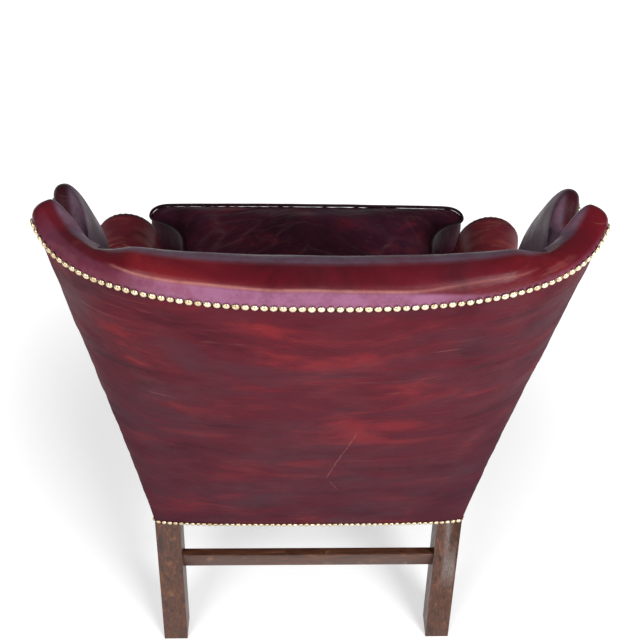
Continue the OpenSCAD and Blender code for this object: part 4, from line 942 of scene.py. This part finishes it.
def make_outside_wing(name, mirror):
    seam_gap = 2 * fit
    count, tail_count = 150, 30
    s = np.linspace(seam_share, 1, count)
    line, r = nail_line(s), ridge(s)
    rim = line + panel_drop * unit(line - r)
    foot_z = float(scroll_of(wing_cut_y)[1]) - under_drop + fit
    top = nail_line(np.array(1.0))
    tail_z = np.linspace(top[1] - seam_gap, foot_z, tail_count)
    tail_g = corner_run + corner_y(tail_z) - wing_cut_y - fit
    rim = np.concatenate([rim, np.stack([tail_g, tail_z], 1)])
    rim[0, 0] = corner_run + seam_gap
    rim[:, 0] = np.maximum(rim[:, 0], corner_run + seam_gap)
    share = np.linspace(0, 1, len(rim))
    seam = np.stack([np.full(len(rim), corner_run + seam_gap),
                     lerp(rim[0, 1] - seam_gap, foot_z, share)], 1)
    t = np.linspace(0, 1, 50)[None, :, None]
    grid = lerp(rim[:, None, :], seam[:, None, :], t)
    front, behind = (wing_pt(grid[..., 0], grid[..., 1], depth) for depth in (0, hide_t))
    out = outward_normals(front, behind)
    dist = np.linalg.norm(front - front[:, :1], axis=2)
    run = np.interp(s, wing_s, nail_run_of_s)
    run = np.concatenate([run, np.full(tail_count, run[-1])])[:, None]
    fade = ease(dist / 25) * ease(np.linalg.norm(front - front[:, -1:], axis=2) / 20)
    lift = pucker(run, dist, depth=0.7, reach=5.0) * (np.arange(len(rim)) < count)[:, None]
    lift = lift + 1.2 * smooth_noise(front, size=60, seed=13) * fade
    front = front + out * lift[..., None]
    # An even painted reflection greys the whole panel
    add_panel("outside_wing_hide_" + name, front, behind, ["outside_wing_" + name], mirror,
              tone=-0.4 * bell(dist, 3, 4), bloom=0.5)


def make_outside_arm(name, mirror):
    under = float(scroll_of(wing_cut_y)[1]) - under_drop
    t = np.linspace(0, 1, 60)[:, None]
    u = np.linspace(0, 1, 110)[None, :]

    def layer(depth):
        y = lerp(arm_y, arm_end_y, u) + 0 * t
        top = np.minimum(scroll_of(y)[1] - under_drop, under) - fit
        z = lerp(rail_z, top, t)
        return side_pt(lerp(y, corner_y(z) - 2 * fit, ease((u - 0.55) / 0.45)), z, depth)

    front, behind = layer(0.0), layer(hide_t)
    out = outward_normals(front, behind)
    rise = front[..., 2] - rail_z
    fade = ease(rise / 40) * ease(u / 0.1) * ease((1 - u) / 0.1) * ease((1 - t) / 0.1)
    front = front + out * (1.2 * smooth_noise(front, size=60, seed=14) * fade)[..., None]
    # An even painted reflection greys the whole panel
    add_panel("outside_arm_hide_" + name, front, behind, ["outside_arm_" + name], mirror, bloom=0.5)


def make_front_border():
    zs = joined((rail_z, rail_z + 16, 8), (rail_z + 16, deck_z, 26))

    def layer(depth):
        return mirrored(np.array([border_line(z, depth, (110, 12, 70)) for z in zs]))

    front, behind = layer(0.0), layer(hide_t)
    out = outward_normals(front, behind)
    rise = front[..., 2] - (rail_z + hem_up)
    run = from_middle(front[0])
    lift = pucker(run, np.abs(rise), depth=0.6, reach=5.0)
    lift += 0.8 * smooth_noise(front, size=40, seed=15) * ease(rise / 30)
    lift = lift * ease((run.max() - run) / 12)
    add_panel("front_border_hide", front + out * lift[..., None], behind, ["front_border"])


def make_facing(name, mirror):
    """Leather drawn over the board on the front of the arm, its edge rolled."""
    under = float(scroll_of(arm_y)[1]) - under_drop
    down = np.linspace(under, deck_z + fit, 14)
    ring = np.concatenate([arm_section(arm_y), np.stack([side_x(arm_y, down), down], 1)])
    bottom = np.linspace(ring[-1, 0], ring[0, 0], 16)[1:-1]
    centre = np.array([lerp(ring[0, 0], ring[-1, 0], 0.55), arm_z - scroll_h - 30])
    ring = np.concatenate([ring, np.stack([bottom, np.full(len(bottom), deck_z + fit)], 1)])
    steps = [(2, 0), (2, 5.5), (2.4, 7.6), (3.4, 9.2), (5.2, 9.9), (10, 9.6), (16, 10), (26, 10), (42, 10)]
    rings = []
    for inset, height in steps:
        away = ring - centre
        size = np.linalg.norm(away, axis=1, keepdims=True)
        p = centre + away * np.maximum(1 - inset / size, 0.05)
        rings.append(points(p[:, 0], facing_y - height, p[:, 1]))
    rings = np.array(rings)
    rings[5:, :, 1] += 0.5 * smooth_noise(rings, size=24, seed=16)[5:] + 0.3
    piece = add_piece("arm_facing_hide_" + name, rings, tube_faces(rings), FACING_HIDE,
                      mirror=mirror, nodes=["arm_facing_" + name], slot="dark_leather", sharp=60)


# ---- the loose T cushion
cushion_z = deck_z + fit
seam_low = cushion_z + 8
seam_high = seam_low + band_h
band_swell = 5
cushion_back_y = float(face_y(1, deck_z + fit)) - band_swell - 2 * fit
ear_x = float(side_x(border_y, deck_z)) - ear_in
body_x, rear_body_x = arm_gap_x - cushion_gap, rear_gap_x - 9
ear_corner, ear_tip, rear_corner, side_draw, front_bow, rear_bow, ear_drop = 28, 10, 36, 4, 4, 6, 46
hollow_y = cushion_y + ear_drop + ear_r


def arc(cx, cy, r, start, end, steps):
    a = np.radians(np.linspace(start, end, steps))
    return np.stack([cx + r * np.cos(a), cy + r * np.sin(a)], 1)


def cushion_outline():
    t = np.linspace(0, 1, 40, endpoint=False)
    u = np.linspace(0.05, 0.97, 50)
    v = np.linspace(1, 0, 40)[1:]
    side_y = lerp(hollow_y, cushion_back_y - rear_corner, u)
    front_x = (ear_x - ear_corner) * t
    half = np.concatenate([
        np.stack([front_x, cushion_y - front_bow * (1 - (front_x / ear_x) ** 2)], 1),
        arc(ear_x - ear_corner, cushion_y + ear_corner, ear_corner, -90, 0, 14),
        arc(ear_x - ear_tip, cushion_y + ear_drop - ear_tip, ear_tip, 20, 80, 8),
        arc(body_x + ear_r, hollow_y, ear_r, -104, -178, 28),
        np.stack([lerp(body_x, rear_body_x, u) - side_draw * np.sin(math.pi * u), side_y], 1),
        arc(rear_body_x - rear_corner, cushion_back_y - rear_corner, rear_corner, 0, 90, 14),
        np.stack([(rear_body_x - rear_corner) * v, cushion_back_y + rear_bow * (1 - v * v)], 1)])
    ring = np.concatenate([half, half[-2:0:-1] * [-1, 1]])
    closed = np.concatenate([ring, ring[:1]])
    run = path_lengths(closed)
    d = np.linspace(0, run[-1], 421)[:-1]
    ring = np.stack([np.interp(d, run, closed[:, k]) for k in range(2)], 1)
    for _ in range(3):
        ring = (np.roll(ring, 1, 0) + 2 * ring + np.roll(ring, -1, 0)) / 4
    return ring


plan = cushion_outline()
plan_tangent = unit(np.roll(plan, -1, 0) - np.roll(plan, 1, 0))
plan_out = np.stack([plan_tangent[:, 1], -plan_tangent[:, 0]], 1)
centre_share = 0.28
plan_centre = np.array([0, lerp(cushion_y, cushion_back_y, centre_share)])


def plan_ring(share, inset, z):
    p = lerp(plan_centre, plan - inset * plan_out, share)
    return points(p[:, 0], p[:, 1], z)


def cushion_rings(shrink=1.0, shave=0.0):
    swell = band_swell / ear_x
    rings = [plan_ring(f, 0, cushion_z + shave) for f in (0.02, 0.3, 0.55, 0.75, 0.88)]
    rings += [plan_ring(0.97 * shrink, 3, cushion_z + shave), plan_ring(shrink, 2.5, cushion_z + 3 + shave),
              plan_ring(shrink, 0.4, seam_low - 1.5 + shave)]
    for t in np.linspace(0.03, 0.97, 12):
        rings.append(plan_ring(shrink * (1 + swell * math.sin(math.pi * t)), 0,
                               lerp(seam_low + shave, seam_high - shave, t)))
    for share, height in zip((1, 0.985, 0.96, 0.92, 0.86, 0.78, 0.68, 0.55, 0.4, 0.22, 0.02),
                             (0.08, 0.2, 0.36, 0.5, 0.64, 0.76, 0.86, 0.93, 0.98, 1, 1)):
        rings.append(plan_ring(share * shrink, 0.5 if share == 1 else 4,
                               seam_high + crown_h * height - shave))
    return np.array(rings)


def inflate(mesh, voxel, pressure, cap, flat_below):
    """The padded form blown up as cloth with its seams held, each point moved no further than cap (mm)."""
    held_near, side_cap_share, frames = 6, 0.3, 20
    seam_near, seam_fade, seam_pull = 8, 12, 0.95
    scene = bpy.context.scene
    work = linked("cloth_work", mesh.copy())
    grid = work.modifiers.new("grid", "REMESH")
    grid.mode, grid.voxel_size = "VOXEL", voxel
    bpy.context.view_layer.update()
    remeshed = evaluated(work)
    work.modifiers.clear()
    work.data = remeshed
    rest = places(remeshed) / MM
    seams = kdtree.KDTree(2 * len(plan))
    for i, p in enumerate(np.concatenate([points(plan[:, 0], plan[:, 1], z) for z in (seam_low, seam_high)])):
        seams.insert(Vector(p), i)
    seams.balance()
    group = work.vertex_groups.new(name="held")
    for i, p in enumerate(rest):
        if seams.find(Vector(p))[2] < held_near or p[2] < flat_below:
            group.add([i], 1.0, "REPLACE")
    cloth = work.modifiers.new("cloth", "CLOTH")
    settings = cloth.settings
    settings.quality, settings.mass, settings.bending_stiffness = 6, 0.4, 0.4
    settings.tension_stiffness = settings.compression_stiffness = 8
    settings.use_pressure, settings.uniform_pressure_force = True, pressure
    settings.effector_weights.gravity = 0
    settings.vertex_group_mass = "held"
    cloth.point_cache.frame_start, cloth.point_cache.frame_end = 1, frames
    for number in range(1, frames + 1):
        scene.frame_set(number)
    blown = evaluated(work)
    moved = places(blown) / MM - rest
    size = np.linalg.norm(moved, axis=1, keepdims=True)
    limit = np.array([cap * side_cap_share, cap * side_cap_share, cap])
    moved = moved * np.minimum(1, np.linalg.norm(limit) / np.maximum(size, 1e-6))
    move(blown, (rest + np.clip(moved, -limit, limit)) * MM)
    blown.update()
    work.modifiers.clear()
    work.data = blown
    work.modifiers.new("finer", "SUBSURF").levels = 1
    bpy.context.view_layer.update()
    finer = evaluated(work)
    bpy.data.objects.remove(work)
    # The cover is drawn back into its seams, where the grid and the cloth's pull have rounded it off
    co = places(finer) / MM
    found = [seams.find(Vector(p)) for p in co]
    gap = np.array([f[2] for f in found])[:, None]
    pull = seam_pull * (1 - ease((gap - seam_near) / seam_fade))
    move(finer, lerp(co, np.array([f[0] for f in found]), pull) * MM)
    scene.frame_set(1)
    return finer


def crease_cushion(mesh):
    """Sat-in creases and a slack dish on the cushion's top, and a rubbed edge beside its seams."""
    co = places(mesh) / MM
    normals = np.array([v.normal for v in mesh.vertices])
    top = ease((co[:, 2] - seam_high - 2) / 10)
    bottom = ease((seam_low + 4 - co[:, 2]) / 6)
    band = (1 - top) * (1 - bottom)
    broad = smooth_noise(co, size=110, seed=21)
    # Creases run slantwise from the ears, longer than wide
    x, y, _ = co.T
    slant = points(0.34 * np.abs(x) + 0.3 * y, y - 0.55 * np.abs(x), x * 0.12)
    ridges = 1 - np.abs(smooth_noise(slant, size=52, seed=22)) * 2
    fine = 1 - np.abs(smooth_noise(slant * [0.7, 1.2, 1], size=17, seed=23)) * 2
    lift = top * (2.0 * broad - 2.0 * np.maximum(ridges, 0) ** 6 - 0.7 * np.maximum(fine, 0) ** 4)
    lift += band * 0.9 * smooth_noise(co * [1, 1, 0.25], size=14, seed=24)
    co = co + normals * (lift * (1 - bottom))[:, None]
    co[:, 2] = np.maximum(co[:, 2], cushion_z)
    move(mesh, co * MM)
    tone = top * (0.26 * np.maximum(ridges, 0) ** 12 + 0.14 * np.maximum(fine, 0) ** 8) * (0.6 + 0.6 * broad)
    near = bell(co[:, 2] - seam_high, 3, 5)
    paint(mesh, "tone", tone + 0.12 * near - 0.35 * band)
    mesh.update()


def make_cushion():
    rings = cushion_rings()
    mesh = new_mesh("cushion_form", (rings.reshape(-1, 3) * MM).tolist(), tube_faces(rings))
    rebuild(mesh, face_outward)
    mesh = inflate(mesh, voxel=0.007, pressure=4.0, cap=14.0, flat_below=cushion_z + 5)
    crease_cushion(mesh)
    piece = finish_piece("seat_cushion_cover", mesh, SEAT_HIDE, "seat_cushion", ["cushion_cover"],
                         sharp=0)
    core = cushion_rings(shrink=0.93, shave=9)
    piece = add_piece("seat_cushion_filling", core, tube_faces(core), WADDING, "seat_cushion",
                      ["cushion_core"], "filling")


def make_welts():
    """The two round cords along the cushion's seams."""
    reach = welt_r * 0.65 + fit
    out, up = points(plan_out[:, 0], plan_out[:, 1], 0)[:, None], np.array([0.0, 0, 1])
    a = np.linspace(0, 2 * math.pi, 12, endpoint=False)[:, None]
    for name, z in (("top", seam_high + reach), ("bottom", seam_low - reach)):
        wobble = 0.5 * smooth_noise(points(plan[:, 0], plan[:, 1], z), size=50, seed=31)
        path = points(plan[:, 0], plan[:, 1], z + wobble)[:, None] + out * reach
        tube = path + welt_r * (out * np.cos(a) + up * np.sin(a))
        add_piece(f"cushion_{name}_welt_cord", tube, tube_faces(tube, True), WELT_HIDE,
                  "seat_cushion", [f"cushion_{name}_welt"], "dark_leather", sharp=0)


# ---- deck, sacking, webbing and dust cloth
def plate_from_node(name, node, material, cell=0.02):
    """The node's own solid cut into small cells so that it can take soft detail."""
    mesh = NODES[node].data.copy()
    low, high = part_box(node)

    def slice_up(build):
        for axis in (0, 1):
            count = int((high[axis] - low[axis]) / cell)
            for k in range(1, count):
                place, side = Vector((0, 0, 0)), Vector((0, 0, 0))
                place[axis], side[axis] = lerp(low[axis], high[axis], k / count), 1
                bmesh.ops.bisect_plane(build, geom=build.verts[:] + build.edges[:] + build.faces[:],
                                       dist=1e-6, plane_co=place, plane_no=side)

    rebuild(mesh, weld, slice_up)
    return finish_piece(name, mesh, material, "chair", [node], sharp=40)


def make_deck():
    piece = plate_from_node("seat_deck_padding", "deck_pad", DECK_CLOTH)
    low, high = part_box("deck_pad")
    co = places(piece.data)
    top = co[:, 2] > high.z - 1e-4
    edge = np.minimum.reduce([high.x - np.abs(co[:, 0]), co[:, 1] - low.y, high.y - co[:, 1]])
    edge_fall, edge_run = 0.003, 0.05
    co[top, 2] -= edge_fall * (1 - ease(edge[top] / edge_run))
    move(piece.data, co)


def make_seat_cloth(name, node, material):
    """A flat cloth under the seat, its upper face slightly waved."""
    piece = plate_from_node(name, node, material)
    low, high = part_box(node)
    co = places(piece.data)
    wave_h = 0.0002
    wave = smooth_noise(co / MM, size=70, seed=41) * wave_h
    co[:, 2] += np.where(co[:, 2] > (low.z + high.z) / 2, -np.abs(wave), 0)
    move(piece.data, co)


strap_w, strap_pitch, strap_count, strap_across = 50, 74, 6, 9
strap_in = board_in + board_t + 3 * fit
sacking_in = strap_in + cloth_t + slack
cloth_low, cloth_high = deck_z + 24, nail_z - 19.5
cloth_zs = np.linspace(cloth_low, cloth_high, 60)[:, None]


def cloth_faces(x, depth):
    """Both faces of a cloth that lies depth inside the back's outer face."""
    return back_point(x, cloth_zs, depth + cloth_t), back_point(x, cloth_zs, depth)


def make_back_cloth():
    straps, faces = [], []
    for k in range(strap_count):
        x = (k - (strap_count - 1) / 2) * strap_pitch + np.linspace(-strap_w / 2, strap_w / 2, strap_across)
        strap = np.concatenate([face.reshape(-1, 3) for face in cloth_faces(x[None, :], strap_in)])
        straps.append(strap)
        faces.append(slab_faces(len(cloth_zs), strap_across) + k * len(strap))
    add_piece("back_webbing_straps", np.concatenate(straps), np.concatenate(faces), JUTE,
              nodes=["back_webbing"], slot="jute")
    x = np.linspace(-0.94, 0.94, 90)[None, :] * pad_x(cloth_zs)
    piece = add_slab("back_sacking", *cloth_faces(x, sacking_in), JUTE, nodes=["back_hessian"], slot="jute")


# ---- wood: each member with its arrises worn round
def wear_edges(build):
    """The long sharp edges of a bar, rounded."""
    worn_r, least_edge = 0.0022, 0.012
    bmesh.ops.dissolve_limit(build, angle_limit=math.radians(1), verts=build.verts, edges=build.edges)
    sharp = [e for e in build.edges if len(e.link_faces) == 2 and e.calc_face_angle(0) > math.radians(30)
             and e.calc_length() > least_edge]
    bmesh.ops.bevel(build, geom=sharp, offset=worn_r, segments=3, profile=0.6, affect="EDGES",
                    clamp_overlap=True)


def make_wood():
    pairs = (("rear_post", WALNUT_UP), ("front_leg", WALNUT_UP), ("side_stretcher", WALNUT_ALONG))
    bars = [(f"{kind}_{side}", material) for kind, material in pairs for side, _ in SIDES]
    bars += [("cross_stretcher", WALNUT_ACROSS), ("rear_stretcher", WALNUT_ACROSS)]
    for node, material in bars:
        mesh = NODES[node].data.copy()
        rebuild(mesh, weld, wear_edges)
        finish_piece("worn_" + node, mesh, material, "chair", [node], sharp=35)


# ---- nail heads by Geometry Nodes
def nail_head():
    """A domed head with a thin turned-down rim, its underside flat."""
    profile = [(0.86, 0.0), (0.98, 0.02), (0.98, 0.2), (0.94, 0.42), (0.84, 0.7), (0.68, 0.96),
               (0.48, 1.14), (0.25, 1.25)]
    tip, count = 1.28, 22
    a = 2 * math.pi * np.arange(count) / count
    rings = np.array([points(r * nail_d / 2 * np.cos(a), r * nail_d / 2 * np.sin(a), h * nail_h)
                      for r, h in profile])
    verts = np.concatenate([rings.reshape(-1, 3), [[0, 0, 0], [0, 0, tip * nail_h]]]) * MM
    faces = tube_faces(rings)[:-2]
    foot, top = len(verts) - 2, len(verts) - 1
    last = foot - count
    for k in range(count):
        after = (k + 1) % count
        faces += [(foot, after, k), (top, last + k, last + after)]
    mesh = new_mesh("nail_head", verts.tolist(), faces)
    mesh.shade_smooth()
    return linked("nail_head", mesh)


def nail_tree():
    """Geometry Nodes group: one head on each point, turned to its normal, with a little play."""
    group = bpy.data.node_groups.new("nail_rows", "GeometryNodeTree")
    group.interface.new_socket("Geometry", in_out="OUTPUT", socket_type="NodeSocketGeometry")
    for label, kind in (("Geometry", "Geometry"), ("Head", "Object"), ("Material", "Material"),
                        ("Tilt", "Float"), ("Size play", "Float"), ("Seed", "Int")):
        group.interface.new_socket(label, in_out="INPUT", socket_type="NodeSocket" + kind)
    g = Tree(group)
    given = g.add("NodeGroupInput").outputs
    head = g.add("GeometryNodeObjectInfo", "Geometry", Object=given["Head"])
    out = g.add("GeometryNodeInputNamedAttribute", "Attribute", set_data_type="FLOAT_VECTOR", Name="out")
    turn = g.add("FunctionNodeAlignRotationToVector", 0, set_axis="Z", Vector=out)
    play = g.add("FunctionNodeRandomValue", 0, set_data_type="FLOAT_VECTOR", Max=given["Tilt"],
                 Min=g.maths("MULTIPLY", given["Tilt"], -1), Seed=given["Seed"])
    tilt = g.add("FunctionNodeEulerToRotation", 0, Euler=play)
    both = g.add("FunctionNodeRotateRotation", 0, set_rotation_space="LOCAL", Rotation=turn, Rotate_By=tilt)
    size = g.add("FunctionNodeRandomValue", Seed=given["Seed"])
    g.put(size.inputs[2], g.maths("SUBTRACT", 1, given["Size play"]))
    g.put(size.inputs[3], g.maths("ADD", 1, given["Size play"]))
    placed = g.add("GeometryNodeInstanceOnPoints", 0, Points=given["Geometry"], Instance=head, Rotation=both,
                   Scale=size.outputs[1])
    solid = g.add("GeometryNodeRealizeInstances", 0, Geometry=placed)
    dressed = g.add("GeometryNodeSetMaterial", 0, Geometry=solid, Material=given["Material"])
    g.add("NodeGroupOutput", Geometry=dressed)
    return group


NAIL_TREE, NAIL_HEAD = nail_tree(), nail_head()
nail_tilt, nail_play = 0.09, 0.05


def add_nails(name, node, place, out, seed):
    mesh = new_mesh(name + "_points", ((place + out * nail_lift) * MM).tolist(), [])
    paint(mesh, "out", out, "FLOAT_VECTOR", "vector")
    rng = np.random.default_rng(seed)
    # More of the heads are tan towards the sitter's left
    worn = 0.08 + 0.45 * ease((place[:, 0] + 40) / 380) + rng.normal(0, 0.14, len(place))
    paint(mesh, "tint", np.clip(worn, 0, 1))
    work = linked(name + "_points", mesh)
    rows = work.modifiers.new("rows", "NODES")
    rows.node_group = NAIL_TREE
    keys = {s.name: s.identifier for s in NAIL_TREE.interface.items_tree if s.in_out == "INPUT"}
    for label, value in (("Head", NAIL_HEAD), ("Material", BRASS), ("Tilt", nail_tilt),
                         ("Size play", nail_play), ("Seed", seed)):
        rows[keys[label]] = value
    bpy.context.view_layer.update()
    mesh = evaluated(work)
    work.modifiers.clear()
    bpy.data.objects.remove(work)
    finish_piece(name, mesh, BRASS, "chair", [node], sharp=0)


def both_sides(place, out):
    flip = [-1, 1, 1]
    return np.concatenate([place, place * flip]), np.concatenate([out, out * flip])


def away_from_seat(path, out):
    """The nail rows' outward directions, each turned to point away from the seat."""
    flat = (path - [0, -60, 0]) * [1, 1, 0]
    sign = np.sign((out * flat).sum(1, keepdims=True))
    return out * np.where(sign == 0, 1, sign)


def make_nails():
    for name, path, out, seed in (("crown", crown_path, crown_out, 5), ("hem", hem_path, hem_out, 6)):
        row = both_sides(*nail_places(path, away_from_seat(path, out)))
        add_nails(name + "_nail_heads", name + "_nails", *row, seed)
    line = arm_section(arm_y, -facing_nail_in)
    face = points(line[:, 0], facing_y - facing_t, line[:, 1])
    place, out = nail_places(face, np.broadcast_to([0.0, -1, 0], face.shape))
    for side, mirror in SIDES:
        add_nails("facing_nail_heads_" + side, "facing_nails_" + side, place * [mirror, 1, 1], out,
                  seed=8 + mirror)
    bpy.data.objects.remove(NAIL_HEAD)


def dress_nodes():
    """Material for the CAD nodes that keep their own mesh."""
    both = ("arm_post", "arm_rail", "arm_tacking_rail", "wing_rail", "wing_post", "side_rail")
    kinds = {BEECH: ["front_rail", "rear_rail", "corner_blocks", "crest_rail", "lower_back_rail"]
             + [f"{kind}_{side}" for kind in both for side, _ in SIDES],
             SPRING_STEEL: ["block_screws", "seat_springs", "spring_clips"], ZIP_BRASS: ["cushion_zip"]}
    for material, names in kinds.items():
        for name in names:
            for place in NODES[name].material_slots:
                place.material = material


# ---- camera, floor and light
def make_camera():
    """The photograph's own view, fitted to the nail rows, legs and outline."""
    forward = Vector((-0.03704, -0.69743, -0.71569))
    right = Vector((-0.99930, 0.02256, 0.02973))
    up = Vector((0.00459, -0.71630, 0.69778))
    turn = Matrix((right, up, -forward)).transposed().to_4x4()
    data = bpy.data.cameras.new("photo_camera")
    data.sensor_width, data.lens = 36.0, 49.65
    camera = linked("photo_camera", data)
    camera.matrix_world = Matrix.Translation((0.042, 1.0915, 1.689)) @ turn
    bpy.context.scene.camera = camera


def make_floor():
    """Pale floor that the camera, and gloss, see lifted to white, with the shadow kept; lifted less near the
    chair, a painted shade round it.
    """
    r = 9.0
    mesh = new_mesh("floor", [(-r, -r, 0), (r, -r, 0), (r, r, 0), (-r, r, 0)], [(0, 1, 2, 3)])
    linked("floor", mesh)
    n = Nodes("pale_floor")
    path = n.add("ShaderNodeLightPath")
    seen = n.maths("MAXIMUM", path.outputs["Is Camera Ray"],
                   n.maths("MAXIMUM", path.outputs["Is Glossy Ray"], path.outputs["Is Transmission Ray"]))
    n.surface([0.8, 0.8, 0.8, 1], 0.9, Specular_IOR_Level=0.0)
    n.put(n.shader.inputs["Emission Color"], [1, 1, 1, 1])
    away = n.add("ShaderNodeVectorMath", "Value", set_operation="LENGTH", Vector=n.coords)
    # Painted shade: the lift rises from 0.42 within 0.5 m of the middle to 0.78 beyond 1.2 m, darkening the
    # floor round the chair
    n.put(n.shader.inputs["Emission Strength"], n.maths("MULTIPLY", seen, n.span(away, 0.5, 1.2, 0.42, 0.78)))
    mesh.materials.append(n.material)


def make_world():
    """Grey light, brighter overhead and dimmest above the horizon; the camera sees white."""
    world = bpy.data.worlds.new("studio")
    bpy.context.scene.world = world
    world.use_nodes = True
    w = Tree(world.node_tree)
    up = w.add("ShaderNodeSeparateXYZ", "Z", Vector=w.add("ShaderNodeTexCoord", "Generated"))
    height = w.add("ShaderNodeMapRange", "Result", Value=up, From_Min=-1, From_Max=1)
    ramp = w.add("ShaderNodeValToRGB", Fac=height)
    stops = ramp.color_ramp.elements
    stops[0].position, stops[0].color = 0.5, [0.25, 0.25, 0.25, 1]
    stops[1].position, stops[1].color = 0.95, [0.36, 0.36, 0.37, 1]
    stops.new(0.62).color = [0.16, 0.16, 0.165, 1]
    camera_ray = w.add("ShaderNodeLightPath", "Is Camera Ray")
    light = w.add("ShaderNodeBackground", 0, Strength=1.0,
                  Color=w.mix(camera_ray, ramp.outputs["Color"], [1, 1, 1, 1]))
    w.add("ShaderNodeOutputWorld", Surface=light)


def lamp(name, place, target, size, power):
    data = bpy.data.lights.new(name, "AREA")
    data.shape, data.size, data.energy = "DISK", size, power
    light = linked(name, data)
    light.location = place
    light.rotation_euler = (Vector(target) - Vector(place)).to_track_quat("-Z", "Y").to_euler()


bpy.context.scene.view_settings.view_transform = "Standard"
make_camera()
make_floor()
make_world()
lamp("key", (-2.4, 3.2, 2.7), (0, 0, 0.5), size=2.2, power=155)
lamp("fill", (2.2, 3.0, 2.6), (0, 0, 0.5), size=2.2, power=75)
make_inside_back()
make_outside_back()
for side, mirror in SIDES:
    make_inside_wing(side, mirror)
    make_arm(side, mirror)
    make_outside_wing(side, mirror)
    make_outside_arm(side, mirror)
    make_facing(side, mirror)
make_front_border()
make_cushion()
make_welts()
make_deck()
make_seat_cloth("dust_cloth", "dust_cover", DUST_CLOTH)
make_seat_cloth("seat_sacking", "seat_hessian", JUTE)
make_back_cloth()
make_wood()
make_nails()
dress_nodes()
